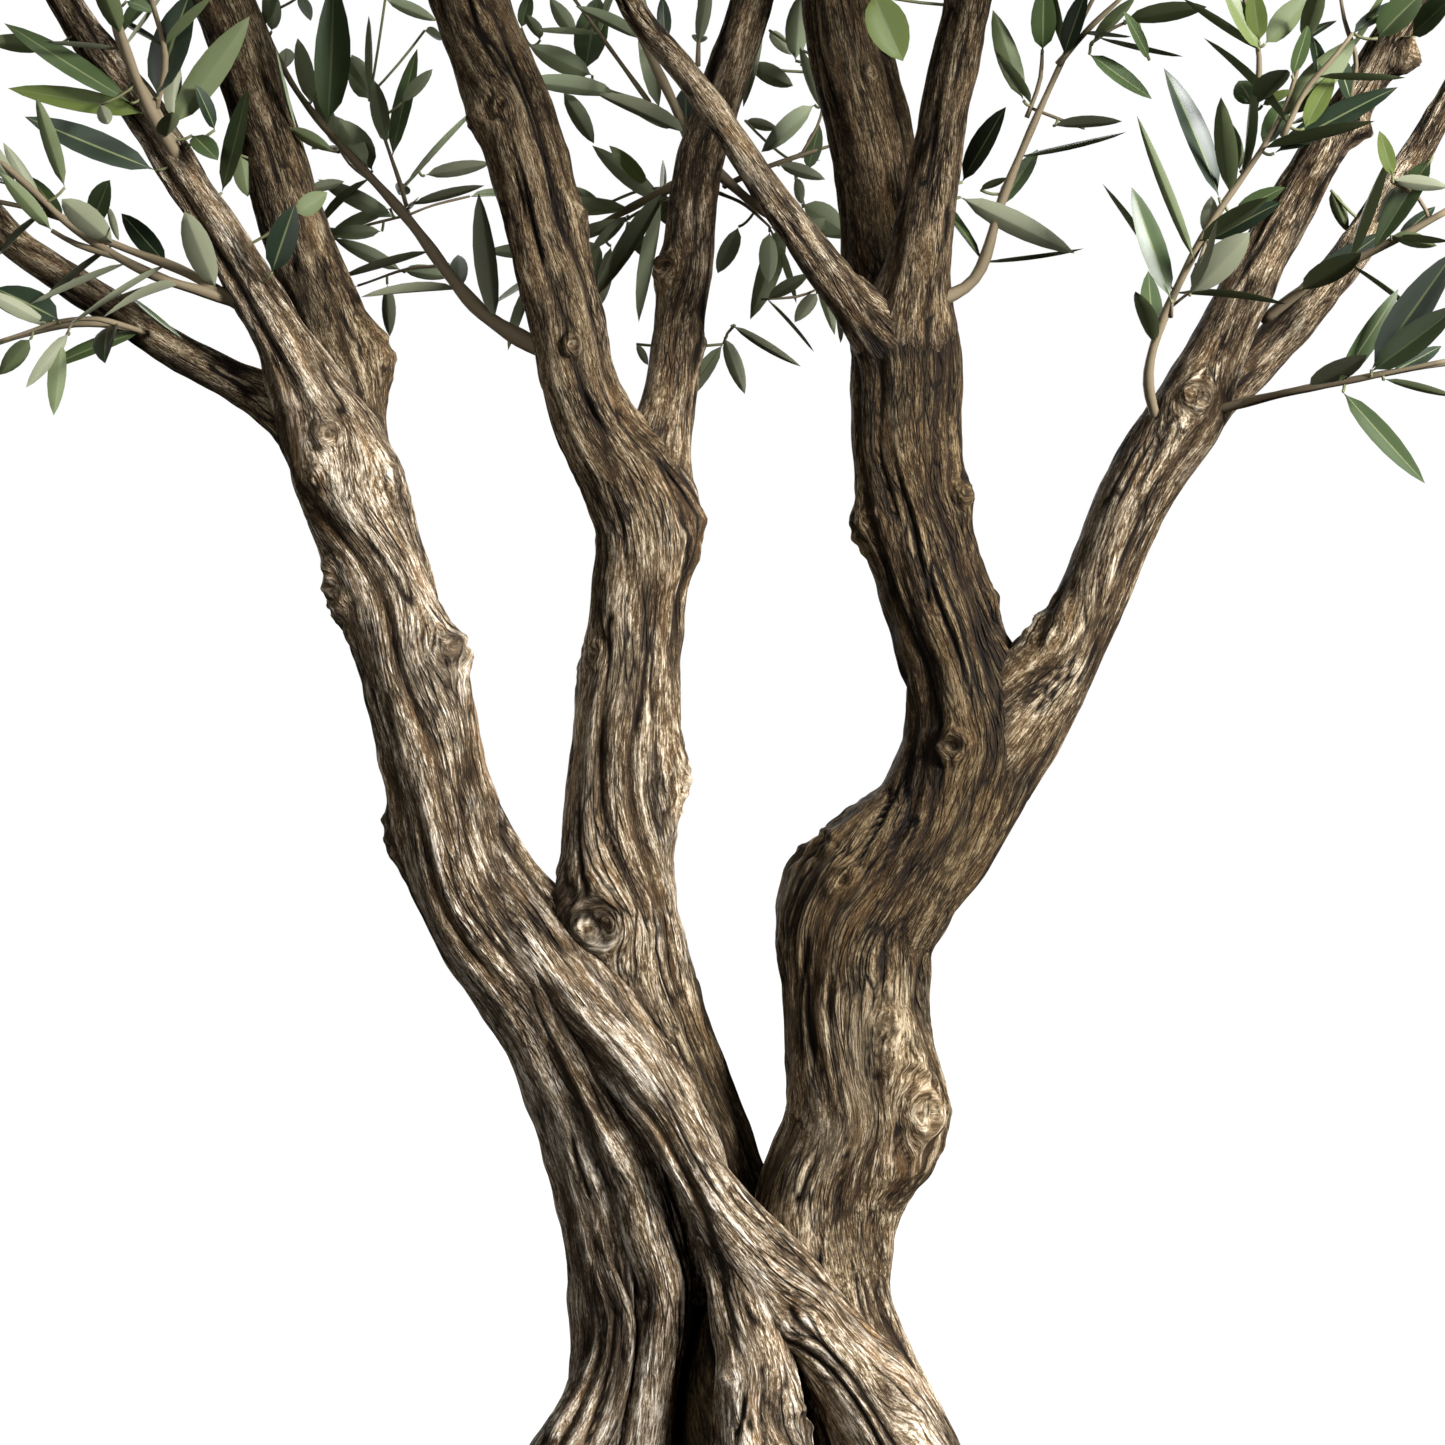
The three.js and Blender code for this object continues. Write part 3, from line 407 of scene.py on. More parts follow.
def barkSurface(limb, kind, seed, marks=(), bumps=()):
    # The radius at an angle and a run is the axis' radius and a low swelling, less grooves and cracks that
    # follow the lines where stretched noises cross zero, plus lumps, grain, knots and burls.
    # The grain winds round the limb and parts at each knot as a stream does at a stone
    look, shape = barkKinds[kind], barkShape
    length, mean = limb["run"][-1], limb["radii"].mean()
    rows = int(length / look["row"]) + 1
    cols = max(shape["leastCells"], int(2 * math.pi * mean / look["cell"]))
    run = np.linspace(0, length, rows)
    at = {}
    for key in ("centres", "front", "beside"):
        at[key] = np.stack([np.interp(run, limb["run"], column) for column in limb[key].T], axis=1)[:, None]
    radius = np.interp(run, limb["run"], limb["radii"])[:, None]
    angle = (np.arange(cols) * 2 * math.pi / cols)[None, :] + 0 * radius
    s = run[:, None] + 0 * angle
    rowStep, colStep = run[1], 2 * math.pi * radius / cols

    def roundNoise(turn, wide, long, number):
        # Noise that goes round the limb so wide, whatever the limb's radius, and so many millimetres long
        return noise(np.stack([np.cos(turn) * wide, np.sin(turn) * wide, s / long], axis=-1), seed + number)

    def sideFrom(angle0):
        # The angle round the limb from a mark, from -pi to pi
        return (angle - angle0 + math.pi) % (2 * math.pi) - math.pi

    def patchNoise(side, wide, tall, number):
        # Noise on the skin round a mark, with features so wide and so tall
        return noise(np.stack([side * radius / wide, s / tall, 0 * s + seed], axis=-1), seed + number)

    around = angle + look["twist"] * s * mm
    around = around + look["sway"] * roundNoise(angle, *shape["sway"], 0)
    rise, ring, knot = 0 * s, knotShape["farRing"] + 0 * s, knotShape["farAway"] + 0 * s
    for mark in marks:
        run0, angle0 = placeOn(limb, mark)
        size, strength = mark[2:]
        side = sideFrom(angle0)
        away = np.sqrt((side * radius)**2 + ((s - run0) * knotShape["squeeze"])**2)
        near = np.exp(-(away / (knotShape["partingReach"] * size))**2)
        away = away * (1 + knotShape["uneven"] * patchNoise(side, size, size, 8))
        around = around - side * near * size**2 / (away**2 + knotShape["parting"] * size**2)
        lip = sum(high * np.exp(-((away - far * size) / (wide * size))**2)
                  for high, far, wide in knotShape["rings"])
        rise = rise + strength * size * knotShape["rise"] * lip
        ring = np.minimum(ring, away / size)
        knot = np.minimum(knot, away)
    bare = 1 - smoothStep(ring, *knotShape["bare"])
    for run0, angle0, size, height in [(*placeOn(limb, b), *b[2:]) for b in bumps]:
        side = sideFrom(angle0)
        away = np.sqrt((side * radius)**2 + (s - run0)**2)
        lumps = patchNoise(side, *burlShape["lumps"], 5)
        lumps = lumps + burlShape["crumbShare"] * patchNoise(side, *burlShape["crumbs"], 6)
        rough = min(height, burlShape["roughMost"]) * burlShape["rough"]
        rise = rise + np.exp(-(away / size)**2) * (height + rough * lumps)
        turning = np.exp(-(away / (burlShape["turningReach"] * size))**2) * burlShape["turning"]
        around = around - side * turning

    def skinNoise(wide, stretch, number, turn=around):
        # Noise on the skin, periodic round the limb, with features so wide and so many times as long
        x, y = np.cos(turn) * radius / wide, np.sin(turn) * radius / wide
        return noise(np.stack([x, y, s / (wide * stretch)], axis=-1), seed + number)

    swelling = roundNoise(around, *shape["swelling"], 1)
    lump = (skinNoise(*shape["lump"], 2, angle)
            + shape["smallLumpShare"] * skinNoise(*shape["smallLump"], 3, angle))
    ribs = wayToZero(skinNoise(look["ribs"], look["ribRun"], 4), rowStep, colStep)
    wide, long = shape["grooved"]
    here = smoothStep(skinNoise(look["ribs"] * wide, long, 5), *shape["groovedFrom"])
    groove = here * np.exp(-ribs / look["grooveWidth"]) * (1 - bare)
    broad, gate, fine, finest = (skinNoise(look["grain"] * wide, look["stretch"] * long, 6 + number)
                                 for number, (wide, long) in enumerate(shape["grains"]))
    gate = smoothStep(gate, *shape["crackFrom"])
    crackWidth = look["crackWidth"] * (shape["leastCrack"] + gate)
    crack = gate * np.exp(-(wayToZero(broad, rowStep, colStep) / crackWidth)**2) * (1 - bare)
    skin, light = shape["skin"], shape["light"]
    grow = look["fine"] * (skin["broad"] * np.abs(broad) + skin["fine"] * np.abs(fine)
                           + skin["finest"] * finest - skin["less"]) * (1 - shape["bareGrain"] * bare)
    full = (radius * (1 + look["swell"] * swelling) + look["lump"] * lump * (1 - shape["bareLump"] * bare)
            + grow + rise - look["grooveDepth"] * groove - look["crackDepth"] * crack)
    end = radius[-1, 0] * shape["tipRound"]
    full = full * np.sqrt(np.clip(1 - np.clip((s - (length - end)) / end, 0, 1)**2, 0, 1))
    full = full + shape["leastRadius"]
    outward = np.cos(angle)[..., None] * at["front"] + np.sin(angle)[..., None] * at["beside"]
    relief = (light["all"] + light["lump"] * lump + light["broad"] * (np.abs(broad) - shape["broadMean"])
              + light["fine"] * (np.abs(fine) - shape["fineMean"]) + light["finest"] * finest
              - light["groove"] * groove)
    mark = np.clip(shape["crackMark"] * crack + shape["grooveMark"] * groove**2, 0, 1)
    finer = 1 + shape["finer"] * smoothStep(at["centres"][..., 2], *shape["finerFrom"])
    drawn = np.cumsum(finer, axis=0) * rowStep + 0 * angle
    flow = np.stack([np.cos(around) * radius * finer, np.sin(around) * radius * finer, drawn], axis=-1)
    return {
        "points": at["centres"] + outward * full[..., None], "outward": outward, "flow": flow * mm,
        "crack": mark, "relief": np.clip(relief, 0, 1),
        "ring": np.clip(ring / knotShape["farRing"], 0, 1), "knot": knot * mm,
        "run": run, "length": length, "mean": mean,
    }


def gapTo(points, limb, axisStep=6, atOnce=20000):
    # How far points lie outside a limb: the least distance to its axis, less its radius there
    every = max(1, int(axisStep / (limb["run"][1] - limb["run"][0])))
    axis, radii = limb["centres"][::every], limb["radii"][::every]
    flat = points.reshape(-1, 3)
    gap = np.empty(len(flat))
    for start in range(0, len(flat), atOnce):
        part = flat[start:start + atOnce]
        far = np.sqrt(np.maximum((part**2).sum(1)[:, None] + (axis**2).sum(1)[None] - 2 * part @ axis.T, 0))
        gap[start:start + atOnce] = (far - radii[None]).min(axis=1)
    return gap.reshape(points.shape[:-1])


def fillet(surface, neighbours, foldShadeWidth=7):
    # A collar where limbs meet: near another limb the skin swells by (1 - gap/k) squared times k/4,
    # which is where a smooth union of the two would lie. The fold between them is darkened as painted shade
    swell = 0
    hidden = np.full(surface["points"].shape[:-1], np.inf)
    for limb, k in neighbours:
        gap = gapTo(surface["points"], limb)
        swell = np.maximum(swell, np.clip(1 - np.abs(gap) / k, 0, 1)**2 * k / 4)
        hidden = np.minimum(hidden, gap)
    surface["points"] = surface["points"] + surface["outward"] * np.asarray(swell)[..., None]
    surface["paintedFoldShade"] = np.clip(1 - np.abs(hidden) / foldShadeWidth, 0, 1)
    return surface


# Meshes


def makeMesh(name, points, faces, tints=None):
    # A mesh from points in millimetres and arrays of corner numbers, one array for each kind of polygon
    corners = np.concatenate([f.ravel() for f in faces]).astype(np.int32)
    sizes = np.concatenate([np.full(len(f), f.shape[1]) for f in faces])
    mesh = bpy.data.meshes.new(name)
    mesh.vertices.add(len(points))
    mesh.loops.add(len(corners))
    mesh.polygons.add(len(sizes))
    mesh.vertices.foreach_set("co", (points * mm).astype(np.float32).ravel())
    mesh.loops.foreach_set("vertex_index", corners)
    mesh.polygons.foreach_set("loop_start", np.concatenate([[0], np.cumsum(sizes)[:-1]]).astype(np.int32))
    if tints is not None:
        mesh.polygons.foreach_set("material_index", tints.astype(np.int32))
    mesh.update(calc_edges=True)
    mesh.shade_smooth()
    return mesh


def addPiece(name, mesh, materials, nodes):
    # Every piece is fixed to the root, and stands for the nodes of the limbs or masses that it dresses
    piece = bpy.data.objects.new(name, mesh)
    bpy.context.collection.objects.link(piece)
    for material in materials:
        mesh.materials.append(material)
    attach(piece, "root")
    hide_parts(*nodes)
    return piece


def stripMap(surfaces, gap=4, inside=0.9999):
    # Where each row of each tube lies on the bake map: tubes are cut into lengths of one height,
    # laid side by side as wide as the tube is round, so that all bark has the same share of the map
    rounds = [2 * math.pi * s["mean"] for s in surfaces]
    height = math.sqrt(sum(s["length"] * r for s, r in zip(surfaces, rounds)))
    places, left = [], gap
    for s, r in zip(surfaces, rounds):
        piece = np.floor(s["run"] / height * inside)
        places.append((left + piece * (r + gap), s["run"] - piece * height, r))
        left += (piece[-1] + 1) * (r + gap)
    return places, left, height + gap


# What a limb's skin carries for its material, with the painted shade of its folds and its tone and painted
# light and shade
skinLayers = {
    "flow": "FLOAT_VECTOR", "marks": "FLOAT_VECTOR", "paintedFoldShade": "FLOAT", "knot": "FLOAT", "toneAndPaintedLight": "FLOAT",
}


def ringSquares(rings, corners):
    # The squares between the rings of a tube, ring by ring
    j = np.arange(corners)
    n = (j + 1) % corners
    square = np.stack([j, n, n + corners, j + corners], axis=1)
    return (square[None] + corners * np.arange(rings - 1)[:, None, None]).reshape(-1, 4)


def limbPiece(name, surfaces, material, nodes, fanPlace=0.999):
    # Tubes side by side in one mesh, each closed by a fan at its foot and at its tip. The fans don't show,
    # so they all lie at one place in the bake map's corner
    points, normals, quads, fans, uvs, first = [], [], [], [], [], 0
    layers = {key: [] for key in skinLayers}
    places, wide, tall = stripMap(surfaces)
    for surface, (left, up, around) in zip(surfaces, places):
        rows, cols = surface["points"].shape[:2]
        ends = surface["points"][[0, -1]].mean(axis=1)
        block = np.vstack([surface["points"].reshape(-1, 3), ends])
        block[:, 2] = np.maximum(block[:, 2], 0)
        points.append(block)
        normals.append(np.vstack([surface["normals"].reshape(-1, 3), unit(ends - ends[::-1])]))
        squares = ringSquares(rows, cols)
        quads.append(first + squares)
        j = np.arange(cols)
        n = (j + 1) % cols
        lastRow, foot = (rows - 1) * cols, rows * cols
        fans.append(first + np.stack([n, j, 0 * j + foot], axis=1))
        fans.append(first + np.stack([lastRow + j, lastRow + n, 0 * j + foot + 1], axis=1))
        r, c = np.divmod(np.arange(len(squares)), cols)
        u0, u1 = left[r] + c / cols * around, left[r] + (c + 1) / cols * around
        v0, v1 = up[r], up[r] + surface["run"][r + 1] - surface["run"][r]
        uvs.append(np.stack([u0, v0, u1, v0, u1, v1, u0, v1], axis=1).reshape(-1, 2))
        for key, layer in layers.items():
            ownEnds = surface[key][[0, -1]].reshape(2, cols, -1).mean(axis=1)
            layer.append(np.vstack([surface[key].reshape(rows * cols, -1), ownEnds]))
        first += len(block)
    mesh = makeMesh(name, np.vstack(points), [np.vstack(quads), np.vstack(fans)])
    fanCount = sum(len(fan) for fan in fans)
    uv = np.vstack([np.vstack(uvs) / (wide, tall), np.full((3 * fanCount, 2), fanPlace)])
    mesh.uv_layers.new(name="OFBake").data.foreach_set("uv", uv.astype(np.float32).ravel())
    for key, kind in skinLayers.items():
        layer = mesh.attributes.new(key, kind, "POINT")
        values = np.vstack(layers[key]).astype(np.float32).ravel()
        layer.data.foreach_set("vector" if kind == "FLOAT_VECTOR" else "value", values)
    mesh.normals_split_custom_set_from_vertices(np.vstack(normals))
    print(name, sum(len(q) for q in quads) * 2 + fanCount, "triangles")
    return addPiece(name, mesh, [material], nodes)


# Shader sums. A socket is wrapped so that plain expressions add the nodes


class Wire:
    def __init__(self, tree, socket):
        self.tree = tree
        self.socket = socket

    def math(self, kind, a, b=0.5, clamp=False):
        # One sum of two wires or numbers
        return node(self.tree, "ShaderNodeMath", {"operation": kind, "use_clamp": clamp}, {0: a, 1: b})

    def __add__(self, other):
        return self.math("ADD", self, other)

    def __radd__(self, other):
        return self.math("ADD", other, self)

    def __sub__(self, other):
        return self.math("SUBTRACT", self, other)

    def __rsub__(self, other):
        return self.math("SUBTRACT", other, self)

    def __mul__(self, other):
        return self.math("MULTIPLY", self, other)

    def __rmul__(self, other):
        return self.math("MULTIPLY", other, self)

    def __truediv__(self, other):
        return self.math("DIVIDE", self, other)

    def __rtruediv__(self, other):
        return self.math("DIVIDE", other, self)

    def __pow__(self, other):
        return self.math("POWER", self, other)

    def __abs__(self):
        return self.math("ABSOLUTE", self)


def node(tree, kind, settings, inputs, output=0):
    # One node: its settings come first, or a ramp's stops, and then the values or links of its sockets
    made = tree.nodes.new(kind)
    stops = settings.pop("stops", ())
    for key, value in settings.items():
        setattr(made, key, value)
    for k, (place, colour) in enumerate(stops):
        elements = made.color_ramp.elements
        stop = elements[k] if k < 2 else elements.new(place)
        stop.position = place
        stop.color = (*colour, 1)
    for key, value in inputs.items():
        if isinstance(value, Wire):
            tree.links.new(value.socket, made.inputs[key])
        else:
            made.inputs[key].default_value = value
    return Wire(tree, made.outputs[output])


def linear(*rgb):
    # A colour as read off a picture, 0 to 255, in the light values that a shader takes
    c = np.array(rgb) / 255
    return tuple(np.where(c <= 0.04045, c / 12.92, ((c + 0.055) / 1.055)**2.4))


def clamp(value):
    # A value held between 0 and 1
    return value.math("ADD", value, 0, clamp=True)


def mixColour(tree, share, a, b, kind="MIX"):
    # Inputs 0, 6 and 7 of a colour Mix are its factor and its two colours, and output 2 is the colour
    a, b = ((*v, 1) if isinstance(v, tuple) else v for v in (a, b))
    return node(tree, "ShaderNodeMix", {"data_type": "RGBA", "blend_type": kind}, {0: share, 6: a, 7: b}, 2)


def newMaterial(name, **constants):
    # A material with constants on its shader's sockets, which are named with _ for a blank
    material = bpy.data.materials.new(name)
    material.use_nodes = True
    shader = material.node_tree.nodes["Principled BSDF"]
    for key, value in constants.items():
        shader.inputs[key.replace("_", " ")].default_value = value
    return material, material.node_tree, shader


# The bark's colours, its layers of streaks (scale, how long for their width, detail, roughness and warp),
# its thin splits (scale, how long for their width, width of the line, and from where their gate is open),
# and how much each layer adds to its lightness and to its height
barkLook = {
    "colours": {"ridge": (222, 208, 186), "middle": (140, 121, 94), "valley": (72, 54, 33),
                "crack": (27, 17, 7), "warm": (136, 100, 58), "grey": (112, 104, 90), "knot": (52, 38, 24)},
    "streaks": {"fibre": (760, 8, 3, 0.72, 0.5), "thread": (330, 11, 2, 0.6, 0.3),
                "crumb": (950, 3.6, 3, 0.78, 0.7), "broad": (90, 9, 3, 0.6, 0),
                "patch": (26, 2.2, 2, 0.55, 0), "gate": (60, 3, 1, 0.5, 0), "fineGate": (85, 3, 1, 0.5, 0)},
    "split": (210, 9, 0.1, 0.46), "fineSplit": (390, 7, 0.2, 0.47), "gateSlope": 7, "threadGain": 4.5,
    "light": {"fibre": 2.5, "crumb": 2.3, "thread": 0.5, "broad": 0.5}, "relief": 0.9, "darker": 0.08,
    "height": {"fibre": 0.5, "thread": 0.25, "crumb": 0.5, "split": 0.7, "fineSplit": 0.4, "rings": 0.08},
    "stops": (0.0, 0.42, 0.95), "bump": 1.0, "bumpHeight": 0.003,
    # How strong each stain is, and the painted shade in the folds where limbs meet
    "stainsAndShade": {"warm": 0.5, "grey": 0.45, "valley": 0.35, "splits": 0.9, "cracks": 1.0, "rings": 0.36,
               "core": 0.38, "paintedFoldShades": 0.7},
    "warmFrom": 0.53, "greyFrom": 0.5, "valleyUpTo": 0.42, "stainSlope": 5, "fineSplits": 0.85,
    "crackGain": 1.5, "knotReach": 1.3, "knotSlope": 3, "coreReach": 0.36, "coreSlope": 9,
    "ringStep": 0.0027, "ringWave": 4, "ringFray": 3, "ringGain": 0.9, "ringLift": 0.1,
}


def barkMaterial(name, look):
    # The colour is a ramp over relief and grain, with the stains and the painted shade of the folds laid on
    # it one by one, then the tone and painted light and shade, and the bump is the sum of the grain's
    # layers, less the splits and the rings of the knots
    colours = {key: linear(*value) for key, value in look["colours"].items()}
    material, tree, shader = newMaterial(name, Roughness=0.82, Specular_IOR_Level=0.2)

    def layer(key, output="Fac"):
        # What the skin carries under a name
        return node(tree, "ShaderNodeAttribute", {"attribute_name": key}, {}, output)

    def drawn(stretch):
        # The way over the skin, squeezed along the grain so that what reads it is drawn out
        return node(tree, "ShaderNodeMapping", {}, {0: flow, 3: (1, 1, 1 / stretch)})

    def streaks(scale, stretch, detail, rough, warp):
        # Noise drawn out along the grain
        return node(tree, "ShaderNodeTexNoise", {}, {
            "Vector": drawn(stretch), "Scale": scale, "Detail": detail, "Roughness": rough,
            "Distortion": warp})

    def splits(scale, stretch, width, least, gate):
        # The thin lines between long cells, 1 on the line, where the gate is above its least
        cells = node(tree, "ShaderNodeTexVoronoi", {"feature": "DISTANCE_TO_EDGE"}, {
            "Vector": drawn(stretch), "Scale": scale, "Randomness": 1.0})
        return clamp(1 - cells / width) * clamp((gate - least) * look["gateSlope"])

    flow, marks = layer("flow", "Vector"), layer("marks", "Vector")
    relief, crack, ring = (node(tree, "ShaderNodeSeparateXYZ", {}, {0: marks}, part) for part in range(3))
    paintedFoldShade, knot, toneAndPaintedLight = layer("paintedFoldShade"), layer("knot"), layer("toneAndPaintedLight")
    streak = {key: streaks(*values) for key, values in look["streaks"].items()}
    fibre, crumb, broad, patch = (streak[key] for key in ("fibre", "crumb", "broad", "patch"))
    thread = abs(streak["thread"] - 0.5) * look["threadGain"]
    split = splits(*look["split"], streak["gate"])
    fineSplit = splits(*look["fineSplit"], streak["fineGate"])
    light = look["light"]
    grit = ((fibre - 0.5) * light["fibre"] + (crumb - 0.5) * light["crumb"]
            + (thread - 0.5) * light["thread"] + (broad - 0.5) * light["broad"])
    ramp = list(zip(look["stops"], (colours["valley"], colours["middle"], colours["ridge"])))
    colour = node(tree, "ShaderNodeValToRGB", {"stops": ramp}, {
        0: clamp(relief * look["relief"] - look["darker"] + grit)})
    away = ring * knotShape["farRing"]
    inKnot = clamp((look["knotReach"] - away) * look["knotSlope"])
    wave = broad * look["ringWave"] + fibre * look["ringFray"]
    rings = ring.math("SINE", knot * (2 * math.pi / look["ringStep"]) + wave, 0)
    slope = look["stainSlope"]
    stainsAndShade = [  # each overlay's name, its colour, and where it lies: stains, and painted shade in the folds
        ("warm", "warm", clamp((broad - look["warmFrom"]) * slope)),
        ("grey", "grey", clamp((patch - look["greyFrom"]) * slope)),
        ("valley", "valley", clamp((look["valleyUpTo"] - patch) * slope)),
        ("splits", "crack", clamp(split + fineSplit * look["fineSplits"])),
        ("cracks", "crack", clamp(crack * look["crackGain"])),
        ("rings", "knot", inKnot * clamp(rings * look["ringGain"] + look["ringLift"])),
        ("core", "knot", clamp((look["coreReach"] - away) * look["coreSlope"])),
        # painted shade in the folds where limbs meet, in the crack's colour
        ("paintedFoldShades", "crack", paintedFoldShade),
    ]
    for overlay, key, place in stainsAndShade:
        colour = mixColour(tree, place * look["stainsAndShade"][overlay], colour, colours[key])
    # The tone and painted light and shade multiply the colour. A darker limb is browner too: its red falls
    # less than its green, and its blue more
    shade = node(tree, "ShaderNodeCombineColor", {}, {0: toneAndPaintedLight**0.87, 1: toneAndPaintedLight, 2: toneAndPaintedLight**1.3})
    colour = mixColour(tree, 1.0, colour, shade, "MULTIPLY")
    high = look["height"]
    height = (fibre * high["fibre"] + thread * high["thread"] + crumb * high["crumb"]
              - split * high["split"] - fineSplit * high["fineSplit"] - inKnot * rings * high["rings"])
    bump = node(tree, "ShaderNodeBump", {}, {
        "Strength": look["bump"], "Distance": look["bumpHeight"], "Height": height})
    tree.links.new(colour.socket, shader.inputs["Base Color"])
    tree.links.new(bump.socket, shader.inputs["Normal"])
    return material


bark = barkMaterial("oliveBark", barkLook)

# Limbs that grow together, and how wide the collar between each two of them is, in millimetres
collars = [
    ("left web middle", 16), ("heart left leftToe middle centre back right", 10), ("left leftToe", 8),
    ("cross left web", 9), ("cross inner", 5), ("inner left leftToe", 7), ("cross centre", 12),
    ("cross right", 55), ("cross middle heart", 6), ("left left_back_bough left_side_bough", 26),
    ("middle middle_back_bough", 26), ("right right_front_bough crossing_bough", 26),
    ("right outer_right_bough", 28), ("outer_right_bough outer_back_bough", 16),
]
sideBoughCollar = 10
collars += [(skinOf[bough["from"]] + " " + name, sideBoughCollar) for name, bough in sideBoughs.items()]

# How light the bark is at some heights of a limb, as painted light and shade: the crown shades the boughs,
# the stems are darker where they lie in shade, the deep heart between the strands darkest, and lighter where
# they are lit. The younger bark of the boughs is darker of itself too
toneAndPaintedLightByHeight = {
    "right": ([60, 130, 190, 250, 330, 420, 520, 660, 800],
              [1, 0.74, 0.78, 0.68, 0.33, 0.29, 0.35, 0.35, 0.38]),
    "middle": ([180, 240, 300, 380, 480, 560, 660, 850], [0.3, 0.46, 1.08, 1.02, 0.9, 0.74, 0.55, 0.48]),
    "left": ([0, 200, 330, 420, 600, 900], [1.35, 1.35, 1.22, 1.22, 1.08, 0.92]),
    "cross": ([0, 100, 160, 340], [1.15, 1.25, 1.4, 1.3]),
    "outer_right_bough": ([390, 460, 560, 660, 900], [0.55, 0.8, 0.88, 0.85, 0.8]),
    "outer_back_bough": ([560, 900], [0.88, 0.82]),
    "crossing_bough": ([600, 900], [0.9, 0.85]),
    "middle_back_bough": ([560, 900], [0.8, 0.62]),
    "heart": ([0, 160], [0.1, 0.25]),
    "any": ([0, 420, 660, 900], [1.32, 1.1, 0.6, 0.52]),
}


def grow(name, kind, seed):
    # A limb's bark with its knots, its collars, its tone and painted light and shade, and the normals of its
    # grid
    surface = barkSurface(skins[name], kind, seed, knots.get(name, ()), burls.get(name, ()))
    near = {}
    for group, k in collars:
        if name in group.split():
            near.update({other: k for other in group.split() if other != name and k > near.get(other, 0)})
    surface = fillet(surface, [(skins[other], k) for other, k in near.items()])
    surface["marks"] = np.stack([surface["relief"], surface["crack"], surface["ring"]], axis=-1)
    points = surface["points"]
    # The tone and painted light and shade come from the height
    surface["toneAndPaintedLight"] = np.interp(points[..., 2], *toneAndPaintedLightByHeight.get(name, toneAndPaintedLightByHeight["any"]))
    aside = np.roll(points, -1, axis=1) - np.roll(points, 1, axis=1)
    surface["normals"] = unit(np.cross(aside, np.gradient(points, axis=0)))
    return surface


def rowsOf(surface, rows):
    # Some rows of a tube, as a tube of its own
    part = {key: surface[key][rows] for key in ("points", "normals", *skinLayers)}
    run = surface["run"][rows]
    return {**part, "run": run - run[0], "length": run[-1] - run[0], "mean": surface["mean"]}


# Pieces of the foot and the stems: the strands that each one is made of, and the nodes that it stands for
stemPieces = {
    "foot_bark": ("heart centre leftToe back web", "trunk"),
    "cross_strand_bark": ("cross inner", "trunk double_stem"),
    "left_stem_bark": ("left", "trunk double_stem left_stem"),
    "middle_stem_bark": ("middle", "trunk double_stem middle_stem"),
    "right_stem_bark": ("right", "trunk right_stem_lower right_stem_upper"),
}
leaderBark, rowsApart = {}, 3  # above what shows, every third row is enough
seed, seedStep = 10, 10
for name, (parts, nodes) in stemPieces.items():
    surfaces = []
    for part in parts.split():
        surface = grow(part, "stem" if part in leaders else "strand", seed)
        if part in leaders:
            cut = int(np.abs(surface["run"] - skins[part]["run"][stemEnds[part]]).argmin())
            heights = surface["points"][:, 0, 2]
            seen, count = int((heights < crown["underside"]).sum()), len(heights)
            kept = np.r_[cut:seen, seen:count - 1:rowsApart, count - 1]
            leaderBark[leaders[part]] = rowsOf(surface, kept)
            surface = rowsOf(surface, np.r_[0:cut + 1])
        surfaces.append(surface)
        seed += seedStep
    limbPiece(name, surfaces, bark, nodes.split())
print("foot and stems done")

for name in boughs:
    surface = leaderBark[name] if name in leaderBark else grow(name, "bough", seed)
    limbPiece(name + "_bark", [surface], bark, [name])
    seed += seedStep
for name in sideBoughs:
    limbPiece(name + "_bark", [grow(name, "sideBough", seed)], bark, [name])
    seed += seedStep
print("boughs done")


# Foliage: each mass grows on from its bough's tip by one rule, carried on to finer shoots and real leaves

# How a mass grows. Lengths are shares of the mass's reach or of the twig's own length, angles in radians,
# radii, runs and gaps in millimetres. A pair of lengths is for the first and the last one along a twig
foliage = {
    "stemRun": 55, "stemTurn": 0.5, "stemRadius": 4.2, "stemFoot": 0.95, "stemTaper": (0.85, 0.55),
    "farShare": 0.5, "farLift": 14, "stemStep": 14,
    "twigs": 16, "twigPlace": (0.1, 0.92), "twigAngle": (1.2, 0.62), "twigLength": (0.6, 0.42),
    "twigVary": (0.6, 0.7), "twigRadius": 2.3,
    "shoots": 5, "shootPlace": (0.22, 0.92), "shootAngle": 0.75, "shootLength": (0.62, 0.4),
    "shootVary": (0.8, 0.4), "shootRadius": 1.3, "endRadius": 0.7,
    "sway": 0.22, "droop": 0.1, "shorter": (0.48, 0.62, 0.8, 1), "testAt": 0.6,
    "gapSize": 75, "gapDepth": -0.16, "gapSeed": 77,
}
# The leaves: how far apart, how long and how thick in millimetres, their width for their length, their lean
# out from the twig, how they turn round it, and which way their upper side looks
leafSizes = {
    "every": 12.5, "length": (54, 74), "slim": 0.2, "spread": (0.75, 1.05), "thick": 0.5, "least": 0.08,
    "tipLean": 0.45, "young": 0.72, "hang": 0.12, "turnStart": 6.3, "turnVary": 0.9, "perTwig": 37,
    "upward": 0.75, "upTowardsTip": 0.55, "upInward": 0.45, "upVary": 0.5,
}

